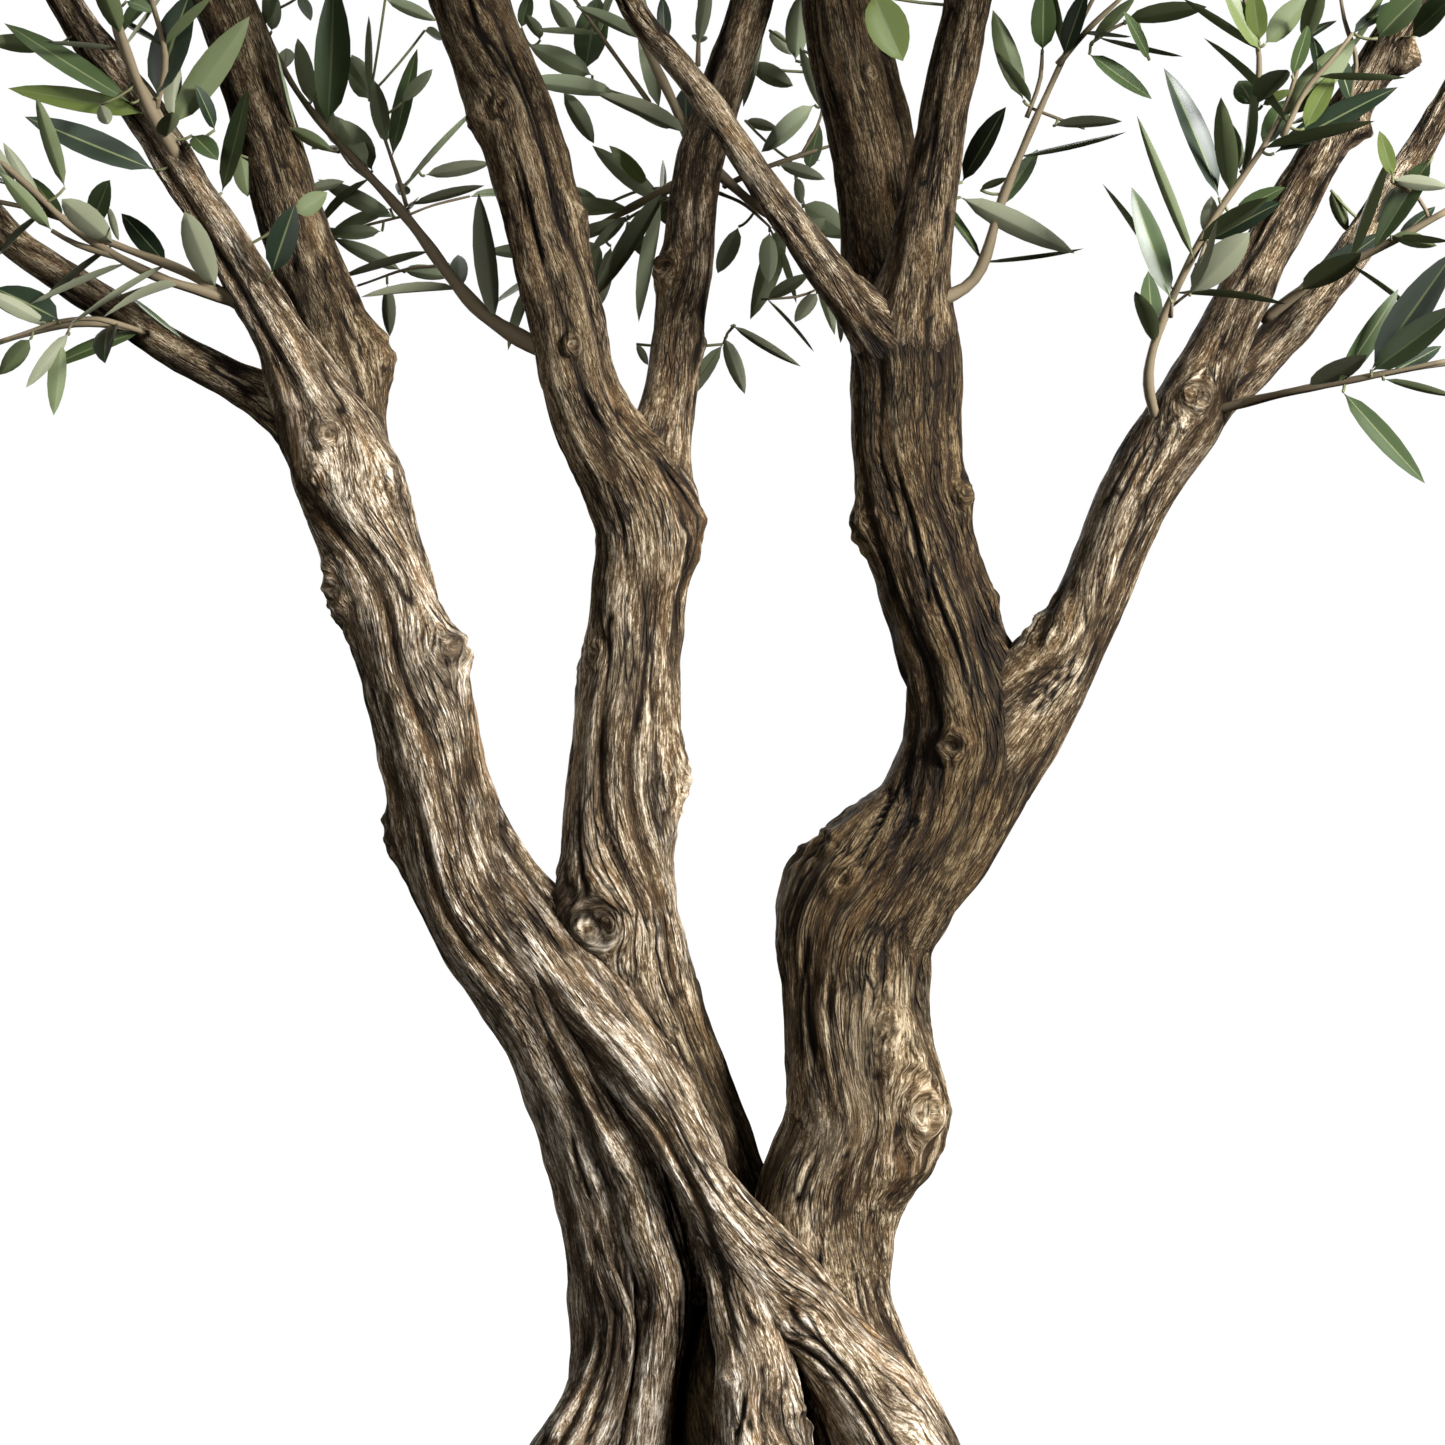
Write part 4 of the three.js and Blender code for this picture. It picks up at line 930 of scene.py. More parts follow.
# Nine leafy twigs low on the boughs, with their first radius and their path
sprays = {
    "left_front_spray": {"radius": 3.5, "path": [
        (-278, -16, 654), (-306, -28, 671), (-340, -34, 684), (-368, -38, 696), (-396, -42, 716)]},
    "left_tip_spray": {"radius": 4.5, "path": [
        (-305, -24, 722), (-326, -52, 762), (-346, -60, 823), (-362, -74, 880)]},
    "left_hanging_spray": {"radius": 3, "path": [
        (-330, 4, 641), (-357, -20, 645), (-395, -26, 638), (-432, -34, 622)]},
    "left_inner_spray": {"radius": 5.5, "path": [
        (-106, 10, 628), (-150, 30, 656), (-195, 54, 713), (-262, 90, 792), (-292, 112, 856)]},
    "inner_spray": {"radius": 3.5, "path": [
        (-30, 46, 736), (-62, 84, 726), (-96, 120, 712), (-128, 150, 690)]},
    "rear_spray": {"radius": 3.5, "path": [
        (-28, 46, 745), (4, 80, 722), (30, 108, 708), (50, 136, 684)]},
    "right_inner_spray": {"radius": 4.5, "path": [
        (90, -16, 654), (120, -16, 668), (137, -22, 715), (166, -30, 782), (196, -42, 842)]},
    "outer_spray": {"radius": 3.5, "path": [
        (226, -8, 578), (214, -36, 618), (240, -46, 685), (284, -54, 755), (300, -60, 820)]},
    "outer_low_spray": {"radius": 3, "path": [
        (236, -10, 594), (290, -32, 606), (356, -42, 618), (418, -46, 626)]},
}

# Leaves and fine twigs that show against the sky between the boughs, read off the photograph, in its pixels
# across and down. A leaf has its root, its tip, its width, about how many millimetres it lies behind the
# tree's middle, and its shade. A twig has its two radii in millimetres, and its points and depths
seenLeaves = [
    (157, 98, 188, -8, 40, -52, 0), (172, 125, 252, 18, 30, -56, 4), (172, 120, 176, 50, 18, -20, 3),
    (145, 114, 6, 85, 24, -54, 2), (155, 170, 27, 124, 30, -44, 0), (130, 102, 0, 22, 26, -50, 1),
    (50, 47, -14, 40, 18, -40, 4), (65, 187, 42, 103, 16, -30, 4), (92, 225, 117, 184, 26, -34, 1),
    (107, 205, 120, 243, 9, -20, 3), (60, 320, -10, 286, 34, -50, 0), (30, 338, -6, 374, 18, -46, 4),
    (70, 332, 32, 390, 14, -44, 3), (62, 340, 53, 416, 18, -48, 4), (222, 192, 260, 97, 24, -40, 1),
    (272, 272, 298, 208, 28, -40, 0), (296, 214, 326, 190, 20, -30, 4), (327, 125, 340, -10, 38, 40, 0),
    (310, 102, 300, 44, 20, 50, 1), (368, 100, 348, 48, 26, 90, 1), (392, 157, 415, 44, 22, 80, 0),
    (402, 103, 434, 75, 14, 90, 1), (367, 165, 332, 112, 22, 100, 4), (372, 170, 344, 125, 30, 110, 1),
    (290, 127, 332, 152, 14, 60, 4), (425, 176, 492, 166, 16, 120, 3), (410, 205, 490, 190, 12, 110, 3),
    (390, 208, 330, 228, 15, 100, 4), (382, 231, 328, 234, 15, 100, 1), (402, 270, 453, 279, 16, 110, 4),
    (388, 285, 390, 338, 15, 120, 3), (308, 190, 345, 182, 12, 90, 3), (385, 0, 437, 21, 15, 100, 4),
    (425, 30, 447, 44, 13, 110, 1), (127, 2, 153, 12, 17, -20, 1), (215, 130, 200, 90, 19, 30, 0),
    (192, 135, 222, 165, 22, 40, 1), (240, 155, 247, 196, 20, 50, 4), (100, 105, 113, 130, 14, 10, 3),
    (272, 32, 277, -4, 15, 60, 1), (300, -4, 314, 24, 13, 60, 0), (585, 70, 597, -8, 34, 90, 0),
    (592, 76, 530, 47, 24, 90, 1), (562, 92, 595, 145, 20, 100, 4), (672, 128, 627, 117, 17, 60, 0),
    (648, 186, 610, 147, 17, 80, 2), (600, 210, 577, 190, 14, 110, 4), (627, 215, 592, 252, 13, 110, 3),
    (612, 245, 601, 311, 15, 130, 3), (664, 42, 662, -4, 15, 60, 0), (522, 28, 530, -6, 15, 70, 0),
    (575, 36, 548, -4, 17, 90, 1), (540, 40, 528, 20, 16, 90, 1), (748, 66, 792, 90, 22, 100, 1),
    (795, 60, 798, 5, 24, 110, 1), (815, 105, 765, 160, 24, 110, 4), (808, 170, 820, 126, 17, 90, 0),
    (770, 30, 792, 50, 14, 120, 3), (800, 65, 825, 78, 22, 110, 4), (745, 120, 775, 132, 12, 130, 3),
    (778, 165, 825, 178, 15, 120, 3), (795, 178, 800, 207, 13, 130, 3), (803, 204, 844, 236, 28, 90, 1),
    (738, 226, 718, 278, 19, 110, 4), (770, 232, 769, 283, 21, 100, 1), (818, 292, 795, 320, 16, 120, 3),
    (732, 325, 797, 370, 11, 140, 3), (724, 338, 745, 392, 17, 140, 3), (636, 345, 648, 366, 9, 140, 3),
    (872, -6, 902, 60, 38, -80, 2), (762, 20, 742, 112, 13, 100, 4), (1024, 100, 992, 12, 22, -20, 4),
    (1042, 50, 1040, -6, 24, -30, 1), (1063, 56, 1086, -6, 24, -40, 0),
    (1089, 54, 1151, 100, 23, -44, 1), (1092, 41, 1130, 6, 15, -40, 4), (1124, 20, 1201, 16, 19, -44, 4),
    (1054, 126, 1118, 128, 15, -30, 3), (963, 182, 1007, 112, 30, 40, 0),
    (960, 197, 1074, 254, 24, 50, 3), (980, 190, 1002, 186, 9, 30, 4), (1218, 197, 1165, 75, 32, -66, 0),
    (1171, 300, 1127, 189, 25, -60, 1), (1195, 264, 1130, 126, 11, -50, 4),
    (1207, 235, 1212, 194, 17, -40, 3), (1189, 294, 1245, 241, 34, -70, 3),
    (1212, 241, 1277, 206, 24, -56, 0), (1233, 214, 1283, 188, 20, -50, 1),
    (1274, 153, 1392, 88, 28, -76, 0), (1283, 117, 1359, 35, 30, -60, 4),
    (1259, 50, 1218, -6, 23, -66, 2), (1260, 41, 1248, -8, 20, -70, 2), (1265, 44, 1312, -6, 25, -64, 4),
    (1292, 76, 1304, 28, 17, -40, 1), (1252, 106, 1240, 80, 26, -20, 1),
    (1262, 105, 1290, 92, 12, -30, 2), (1377, 38, 1420, -6, 34, -50, 1),
    (1350, 100, 1330, 60, 26, -30, 0), (1412, 36, 1449, 4, 32, -30, 1),
    (1392, 176, 1377, 134, 15, -50, 2), (1392, 180, 1449, 187, 15, -50, 3),
    (1432, 156, 1378, 246, 28, -30, 1), (1392, 236, 1434, 248, 15, -20, 4),
    (1330, 190, 1352, 232, 14, 40, 4), (1371, 370, 1449, 256, 34, -80, 0),
    (1372, 372, 1452, 312, 30, -84, 1), (1342, 391, 1422, 486, 21, -76, 1),
    (1383, 379, 1449, 402, 9, -70, 4), (1305, 128, 1336, 70, 20, -56, 2),
    (1240, 170, 1226, 120, 16, -40, 4), (1150, 60, 1120, 20, 16, -20, 1),
]
seenTwigs = [
    (2.7, 1.6, [(177, 150, -30), (155, 110, -44), (125, 55, -50), (107, -6, -54)]),
    (2.2, 1.5, [(155, 110, -44), (165, 60, -50), (150, -6, -46)]),
    (3.2, 1.8, [(243, 306, -16), (205, 293, -26), (165, 280, -32), (118, 258, -34),
                (65, 220, -40), (25, 185, -44), (-6, 156, -50)]),
    (2, 1.3, [(118, 258, -34), (75, 243, -38), (52, 230, -44)]),
    (2, 1.2, [(65, 218, -40), (30, 208, -36), (-6, 200, -30)]),
    (1.2, 0.9, [(120, 298, -10), (145, 288, -20), (170, 281, -28)]),
    (1.8, 0.9, [(152, 335, -6), (120, 324, -30), (95, 319, -40), (60, 322, -46),
                (30, 332, -50), (-6, 343, -52)]),
    (0.9, 0.7, [(72, 322, -44), (66, 336, -46), (58, 350, -48)]),
    (1.5, 1, [(408, 215, 84), (400, 185, 86), (388, 150, 90), (370, 95, 94)]),
    (0.9, 0.7, [(400, 190, 90), (420, 170, 110), (430, 160, 118)]),
    (0.9, 0.7, [(370, 180, 84), (350, 165, 96), (340, 150, 104)]),
    (0.9, 0.7, [(340, 152, 76), (310, 145, 60), (296, 128, 58)]),
    (0.9, 0.7, [(408, 215, 90), (435, 205, 105), (470, 196, 112)]),
    (0.9, 0.7, [(450, 265, 100), (405, 270, 108), (370, 282, 118), (358, 286, 120)]),
    (0.9, 0.7, [(408, 215, 96), (370, 225, 100), (345, 232, 100)]),
    (1.6, 0.9, [(672, 120, 66), (650, 105, 74), (595, 85, 88), (530, 45, 92)]),
    (1.6, 1, [(650, 102, 74), (615, 55, 84), (570, -6, 92)]),
    (1, 0.7, [(676, 187, 70), (640, 190, 90), (600, 206, 108), (570, 212, 112)]),
    (1, 0.7, [(672, 198, 74), (640, 212, 90), (610, 232, 112), (600, 244, 122)]),
    (1.2, 0.8, [(720, 194, 72), (745, 206, 92), (770, 226, 102)]),
    (2.2, 0.9, [(724, 186, 64), (760, 170, 90), (800, 155, 100), (842, 142, 110)]),
    (1, 0.7, [(800, 155, 100), (820, 120, 104), (826, 60, 108)]),
    (0.9, 0.7, [(790, 160, 100), (800, 190, 110), (804, 206, 100)]),
    (3.2, 2.2, [(693, 148, 46), (670, 95, 50), (645, 45, 54), (622, -6, 58)]),
    (1.5, 1, [(697, 66, 30), (700, -6, 40)]),
    (2, 1.2, [(1057, 65, -34), (1089, 29, -42), (1126, -6, -50)]),
    (1.5, 0.9, [(1027, 117, -24), (1040, 80, -28), (1042, 50, -30)]),
    (1, 0.7, [(1032, 108, -24), (1062, 120, -28), (1085, 128, -30)]),
    (1, 0.7, [(1090, 44, -42), (1120, 25, -44), (1150, 18, -46)]),
    (2.2, 1.3, [(1245, 172, -44), (1254, 117, -54), (1259, 53, -66), (1242, -6, -70)]),
    (1.8, 1.1, [(1283, 137, -58), (1305, 90, -60), (1330, 60, -62), (1352, 34, -60)]),
    (1.4, 0.9, [(1171, 317, -50), (1172, 300, -58)]),
    (1.4, 0.9, [(1198, 264, -52), (1208, 235, -46), (1245, 170, -50)]),
    (1, 0.8, [(1171, 308, -50), (1190, 292, -60)]),
    (3, 2, [(1262, 320, 6), (1321, 277, -10), (1377, 249, -20), (1449, 210, -30)]),
    (2, 1.2, [(1232, 406, -16), (1283, 394, -50), (1330, 386, -64), (1377, 376, -76), (1449, 360, -86)]),
    (1.5, 1, [(1392, 180, -44), (1420, 200, -30), (1430, 220, -24)]),
    (1.6, 1, [(1350, 100, -20), (1356, 60, -30), (1345, 20, -40), (1340, -6, -44)]),
    (1, 0.7, [(735, 325, 136), (724, 338, 140), (722, 345, 140)]),
    (0.8, 0.7, [(760, 300, 120), (800, 296, 120), (818, 290, 120)]),
]

# How what is seen gets its place: the x and z of the picture's middle in millimetres, how many pixels from
# a twig a leaf takes its depth, how much a wrong depth counts beside a pixel, how far before its twig a near
# leaf hangs, and the depth from which leaves count as far and get paler colours as painted light. Three
# leaves keep their own depths
seenLook = {
    "middle": (-16.2, 427.4), "near": 45, "depthCounts": 0.15, "before": 2, "farFrom": 60, "between": 12,
    "paintedLightFar": {0: 1, 1: 6, 4: 6}, "own": {(92, 225): -40, (107, 205): -39, (272, 272): -40},
}


def fromPicture(across, down, depth):
    # A pixel's place in whole millimetres: its way from the picture's middle, times a pixel's span there
    half, distance = cameraPlace["pixels"] / 2, cameraPlace["distance"]
    k = (distance + depth) / distance
    x = seenLook["middle"][0] + (across - half) * cameraPlace["mmPerPixel"] * k
    z = seenLook["middle"][1] + (half - down) * cameraPlace["mmPerPixel"] * k
    return round(x), depth, round(z)


def toPicture(points):
    # The pixels across and down at which places show, and their depths
    half, distance = cameraPlace["pixels"] / 2, cameraPlace["distance"]
    x, y, z = points.T
    span = cameraPlace["mmPerPixel"] * ((distance + y) / distance)
    return (x - seenLook["middle"][0]) / span + half, half - (z - seenLook["middle"][1]) / span, y


def evenSteps(path):
    # Even steps along each straight part of a path
    p = np.array(path, float)
    t = np.linspace(0, 1, seenLook["between"])[None, :, None]
    return (p[:-1, None] + (p[1:] - p[:-1])[:, None] * t).reshape(-1, 3)


def placedLeaf(x0, y0, x1, y1, width, depth, shade, seen):
    # A leaf hangs as deep as the twig that is nearest to its root in the picture, or as deep as it was read
    # where no twig is near
    far = np.hypot(seen[0] - x0, seen[1] - y0)
    k = (far + seenLook["depthCounts"] * np.abs(seen[2] - depth)).argmin()
    if (x0, y0) in seenLook["own"]:
        depth = seenLook["own"][x0, y0]
    elif far[k] <= seenLook["near"]:
        depth = round(seen[2][k] - (seenLook["before"] if depth < seenLook["farFrom"] else 0))
    # A far leaf gets a paler colour as painted light
    if depth >= seenLook["farFrom"]:
        shade = seenLook["paintedLightFar"].get(shade, shade)
    (rootX, _, rootZ), (tipX, _, tipZ) = fromPicture(x0, y0, depth), fromPicture(x1, y1, depth)
    return rootX, rootZ, tipX, tipZ, depth, round(width * cameraPlace["mmPerPixel"], 1), shade


placedTwigs = [(first, last, [fromPicture(*p) for p in path]) for first, last, path in seenTwigs]
twigSteps = [evenSteps(path) for path in [spray["path"] for spray in sprays.values()]
             + [path for first, last, path in placedTwigs]]
seenSteps = toPicture(np.vstack(twigSteps))
placedLeaves = [placedLeaf(*leaf, seenSteps) for leaf in seenLeaves]

sampleEvery = 6
limbSamples = {name: (limb["centres"][::sampleEvery], limb["radii"][::sampleEvery])
               for name, limb in axes.items()}


def clearOfLimbs(points, room, own=None):
    # Whether points lie farther than the room from every limb but their own
    clear = np.ones(len(points), bool)
    for name, (axis, radii) in limbSamples.items():
        if name != own:
            far = np.sqrt(((points[:, None] - axis[None])**2).sum(-1)) - radii[None]
            clear &= far.min(axis=1) > room
    return clear


def inSpace(points, mass):
    # A mass's own space: nearer to its centre than to any other, within its reach, above the crown's
    # underside, and clear of every limb but its own
    centre = centres[mass]
    own = ((points - centre)**2).sum(-1)
    held = own < crown["reach"]**2
    low = crown["underside"] + crown["undersideRise"] * points[:, 1]
    held &= (np.abs(points[:, 0]) > crown["undersideHalf"]) | (points[:, 2] > low)
    for other, place in centres.items():
        if other != mass:
            apart = 2 * np.linalg.norm(place - centre)
            held &= (((points - place)**2).sum(-1) - own) / apart > crown["margin"]
    held[held] = clearOfLimbs(points[held], crown["limbRoom"], mass)
    return held


def turned(v, axis, angle):
    # v turned about an axis: v cos a + (axis x v) sin a + axis (axis . v)(1 - cos a)
    c, s = np.cos(angle)[..., None], np.sin(angle)[..., None]
    return v * c + np.cross(axis, v) * s + axis * (axis * v).sum(-1, keepdims=True) * (1 - c)


def makeTwigs(starts, directions, lengths, first, last, seed, rows=6):
    # Each twig runs out straight, sways a little to one side and droops with the square of its run
    u = np.linspace(0, 1, rows)[None, :, None]
    long = lengths[:, None, None]
    aside = unit(np.cross(directions, (0.2, 0.1, 1.0)))
    sway = (vary(seed, np.arange(len(starts))) - 0.5)[:, None, None] * foliage["sway"]
    paths = (starts[:, None] + directions[:, None] * long * u
             + aside[:, None] * long * sway * np.sin(math.pi * u)
             - np.array([0, 0, 1.0]) * foliage["droop"] * long * u**2)
    radii = evenly((first, last), u[..., 0]) + 0 * lengths[:, None]
    return {"paths": paths, "radii": radii, "lengths": lengths}


def pointsAlong(twigs, shares):
    # The points at shares of each twig's length, the ways along it there, and each twig's number
    rows = twigs["paths"].shape[1]
    place = shares * (rows - 1)
    low = np.minimum(place.astype(int), rows - 2)
    k = np.arange(len(twigs["paths"]))[:, None] + 0 * low
    a, b = twigs["paths"][k, low], twigs["paths"][k, low + 1]
    return a + (b - a) * (place - low)[..., None], unit(b - a), k


def offshoots(twigs, shares, angles, lengths, turns):
    # Starts and ways of side shoots at shares of each twig's length, turned round it by the golden turn
    starts, tangent, _ = pointsAlong(twigs, shares)
    aside = unit(np.cross(tangent, (0.3, 0.1, 1.0)))
    aside = turned(aside, tangent, turns)
    ways = tangent * np.cos(angles)[..., None] + aside * np.sin(angles)[..., None]
    return starts.reshape(-1, 3), ways.reshape(-1, 3), lengths.reshape(-1)


def fitted(starts, ways, lengths, mass):
    # Twigs whose ends don't fit their mass's space are tried shorter, and left out if none fits. Those
    # that end where a broad noise is low are left out too, so that the sky shows through the crown
    best = np.zeros(len(starts))
    for share in foliage["shorter"]:
        reach = (lengths * share)[:, None]
        ends = starts + ways * reach - np.array([0, 0, foliage["droop"]]) * reach
        ok = inSpace(ends, mass) & inSpace(starts + (ends - starts) * foliage["testAt"], mass)
        best = np.where(ok, share, best)
    thick = noise((starts + ways * lengths[:, None]) / foliage["gapSize"], foliage["gapSeed"])
    keep = (best > 0) & (thick > foliage["gapDepth"])
    return starts[keep], ways[keep], (lengths * best)[keep]


def leavesOn(twigs, seed, every):
    # Pairs of leaves along each twig, each pair a quarter turn from the one before, and one at the tip.
    # A leaf leans out from the twig by its spread, and its upper side looks up and towards the tip
    look = leafSizes
    lengths = twigs["lengths"][:, None]
    n = np.tile(np.arange(1, int(lengths.max() / every) + 2), (len(lengths), 1))
    share = 1.0 - (n - 1) * every / lengths
    keep = share > look["least"]
    roots, tangent, k = pointsAlong(twigs, np.where(keep, share, 0))
    aside = unit(np.cross(tangent, (0.1, 0.2, 1.0)))
    count = n + look["perTwig"] * k
    out = []
    for half in (0, 1):
        jitter = vary(seed + half, count)
        turn = (n * math.pi / 2 + half * math.pi + vary(seed + 9, k[:, :1]) * look["turnStart"]
                + (jitter - 0.5) * look["turnVary"])
        side = turned(aside, tangent, turn)
        lean = evenly(look["spread"], vary(seed + 3 + half, count))
        lean = np.where(n == 1, lean * look["tipLean"], lean)
        onward = tangent * np.cos(lean)[..., None] + side * np.sin(lean)[..., None]
        onward[..., 2] -= look["hang"]
        loose = [vary(seed + 5 + half, count), vary(seed + 6 + half, count), 0.5 + 0 * count]
        up = (np.array([0, 0, look["upward"]]) + look["upTowardsTip"] * tangent - look["upInward"] * side
              + look["upVary"] * (np.stack(loose, axis=-1) - 0.5))
        size = evenly(look["length"], vary(seed + 7 + half, count))
        size = size * np.where(n <= 2, look["young"], 1.0)
        out.append([v[keep] for v in (roots, unit(onward), up, size, jitter, k + 0 * n)])
    return [np.concatenate([a, b]) for a, b in zip(*out)]


# A leaf's rings: their shares of its length, the place across and the rise of each corner, and for each
# side of a ring whether it is upper side, underside or rib (0, 1, 2)
leafRings = {
    "fine": {"at": [0.05, 0.16, 0.3, 0.45, 0.6, 0.75, 0.88], "kinds": [0, 0, 2, 0, 0, 1, 1, 1],
             "corners": [(-1, 0.30), (-0.5, 0.26), (-0.07, 0.05), (0.07, 0.05), (0.5, 0.26), (1, 0.30),
                         (0.1, -0.1), (-0.1, -0.1)]},
    "plain": {"at": [0.06, 0.25, 0.48, 0.72, 0.9], "kinds": [0, 0, 1, 1],
              "corners": [(-1, 0.26), (0, 0.04), (1, 0.26), (0, -0.04)]},
}
leafForm = {
    "rise": 0.9, "bend": 0.5, "flat": 0.6, "shorten": 0.04, "heel": 0.1, "widest": 0.315,
    "broad": (0.85, 0.35),
}


def leafFaces(count, rings, corners, kinds):
    # The squares between each leaf's rings, the fans at its heel and its tip, and the kind of each face
    body = ringSquares(rings, corners)[:, [0, 3, 2, 1]]
    j = np.arange(corners)
    n = (j + 1) % corners
    last, end = (rings - 1) * corners, rings * corners
    heel = np.stack([j, n, 0 * j + end], axis=1)
    tip = np.stack([last + n, last + j, 0 * j + end + 1], axis=1)
    base = (np.arange(count) * (end + 2))[:, None, None]
    quads = (body[None] + base).reshape(-1, 4)
    fans = (np.concatenate([heel, tip])[None] + base).reshape(-1, 3)
    return quads, fans, np.tile(kinds, (count, rings - 1)), np.tile(kinds, (count, 2))


def bladeSurface(roots, along, up, size, random, fine, broad=None):
    # A blade is a ring of points carried along the leaf: at share t of its length its half width is
    # t^0.75 (1 - t)^0.85, scaled, its two halves rise from the rib, and its line bends with t squared
    look = leafRings["fine" if fine else "plain"]
    t, ring = np.array(look["at"]), np.array(look["corners"])
    half = np.where(t < leafForm["heel"], leafForm["heel"], t**0.75 * (1 - t)**0.85 / leafForm["widest"])
    beside = unit(np.cross(along, up))
    above = np.cross(beside, along)
    long = size[:, None]
    bend = (random - leafForm["flat"])[:, None] * leafForm["bend"]

    def line(s):
        # The leaf's rib at shares s of its length
        shorter = 1 - leafForm["shorten"] * bend[..., None]
        onward = along[:, None] * long[..., None] * s[None, :, None] * shorter
        return roots[:, None] + onward + above[:, None] * (bend * s[None]**2 * long * 0.5)[..., None]

    centre = line(t)
    if broad is None:
        least, more = leafForm["broad"]
        broad = size * leafSizes["slim"] * (least + more * vary(3, random * 50))
    width = (0.5 * broad[:, None] * half[None])[..., None]
    across, rise = ring[:, 0], ring[:, 1] * leafForm["rise"]
    skin = leafSizes["thick"] * (ring[:, 1] < 0.2) * np.sign(ring[:, 1])
    rings = (centre[:, :, None] + beside[:, None, None] * (width * across)[..., None]
             + above[:, None, None] * (width * rise + skin)[..., None])
    ends = line(np.array([0.0, 1.0]))
    points = np.concatenate([rings.reshape(len(roots), len(t) * len(ring), 3), ends], axis=1)
    return points.reshape(-1, 3), *leafFaces(len(roots), len(t), len(ring), look["kinds"])


def twigSurface(twigs, sides):
    # Tubes of a few sides along each twig, closed by a flat end at both ends
    paths, radii = twigs["paths"], twigs["radii"]
    tangent = unit(np.gradient(paths, axis=1))
    front = unit(np.cross(tangent, (0.31, 0.95, 0.05)))
    beside = np.cross(tangent, front)
    angle = np.arange(sides) * 2 * math.pi / sides
    ring = front[:, :, None] * np.cos(angle)[:, None] + beside[:, :, None] * np.sin(angle)[:, None]
    points = paths[:, :, None] + ring * radii[..., None, None]
    count, rows = radii.shape
    j = np.arange(sides)
    base = (np.arange(count) * rows * sides)[:, None, None]
    quads = (ringSquares(rows, sides)[None] + base).reshape(-1, 4)
    ends = (np.stack([j[::-1], (rows - 1) * sides + j])[None] + base).reshape(-1, sides)
    return points.reshape(-1, 3), quads, ends


# Colours of the leaves, dealt out by twig: upper sides, and the paler undersides, rib, and a pale colour
# that some crown twigs get at random and leaves far in the tree get as painted light. A colour is given by
# its number in the two lists together
leafTops = {
    "leaf_top_deep": (30, 43, 27), "leaf_top_mid": (60, 75, 42), "leaf_top_fresh": (90, 103, 50),
}
leafUndersides = {
    "leaf_under_silver": (119, 122, 98), "leaf_under_green": (88, 98, 62), "leaf_rib": (100, 108, 70),
    "leaf_pale_and_painted_light": (138, 147, 116),
}
dealing = {"tops": (0.36, 0.8, 0.88), "silver": 0.7, "rib": 5, "paleAndPaintedLight": 6, "sharp": 70}
twigColours = {"twig_grey": (110, 97, 74), "twig_green": (104, 106, 70)}


def plainMaterials(colours, **constants):
    # One material for each colour, alike but for that
    made = []
    for name, rgb in colours.items():
        material, _, shader = newMaterial(name, **constants)
        shader.inputs["Base Color"].default_value = (*linear(*rgb), 1)
        made.append(material)
    return made


leafMaterials = plainMaterials(leafTops, Roughness=0.42) + plainMaterials(leafUndersides, Roughness=0.7)
twigMaterials = plainMaterials(twigColours, Roughness=0.8)


def joined(blocks):
    # Several sets of points and faces as one, with the corner numbers moved on
    first, points, quads, fans = 0, [], [], []
    for p, q, f in blocks:
        points.append(p)
        quads.append(q + first)
        fans.append(f + first)
        first += len(p)
    return np.vstack(points), np.vstack(quads), np.vstack(fans)


def leafPiece(name, batches, fine, nodes):
    # Every leaf takes its three colours from the number of its twig
    blocks, quadTints, fanTints = [], [], []
    for roots, along, up, size, random, twig, *placed in batches:
        broad, shade = placed or (None, None)
        points, quads, fans, *kinds = bladeSurface(roots, along, up, size, random, fine, broad)
        blocks.append((points, quads, fans))
        dealt = vary(11, twig * 1.7)
        top = np.select([dealt < most for most in dealing["tops"]], [0, 1, 2], dealing["paleAndPaintedLight"])
        under = np.where(vary(12, twig * 2.3) < dealing["silver"], 3, 4)
        if placed:
            top = np.where((shade < 3) | (shade > 5), shade, top)
            under = np.where(shade > 2, shade, under)
        for tints, kind in zip((quadTints, fanTints), kinds):
            tint = np.where(kind == 0, top[:, None], np.where(kind == 1, under[:, None], dealing["rib"]))
            tints.append(tint.ravel())
    points, quads, fans = joined(blocks)
    mesh = makeMesh(name, points, [quads, fans], np.concatenate(quadTints + fanTints))
    mesh.set_sharp_from_angle(angle=math.radians(dealing["sharp"]))
    print(name, len(quads) * 2 + len(fans), "triangles")
    return addPiece(name, mesh, leafMaterials, nodes)


def twigPiece(name, blocks, nodes, material=0):
    # Many twigs in one mesh and one colour
    points, quads, ends = joined(blocks)
    mesh = makeMesh(name, points, [quads, ends])
    return addPiece(name, mesh, [twigMaterials[material]], nodes)


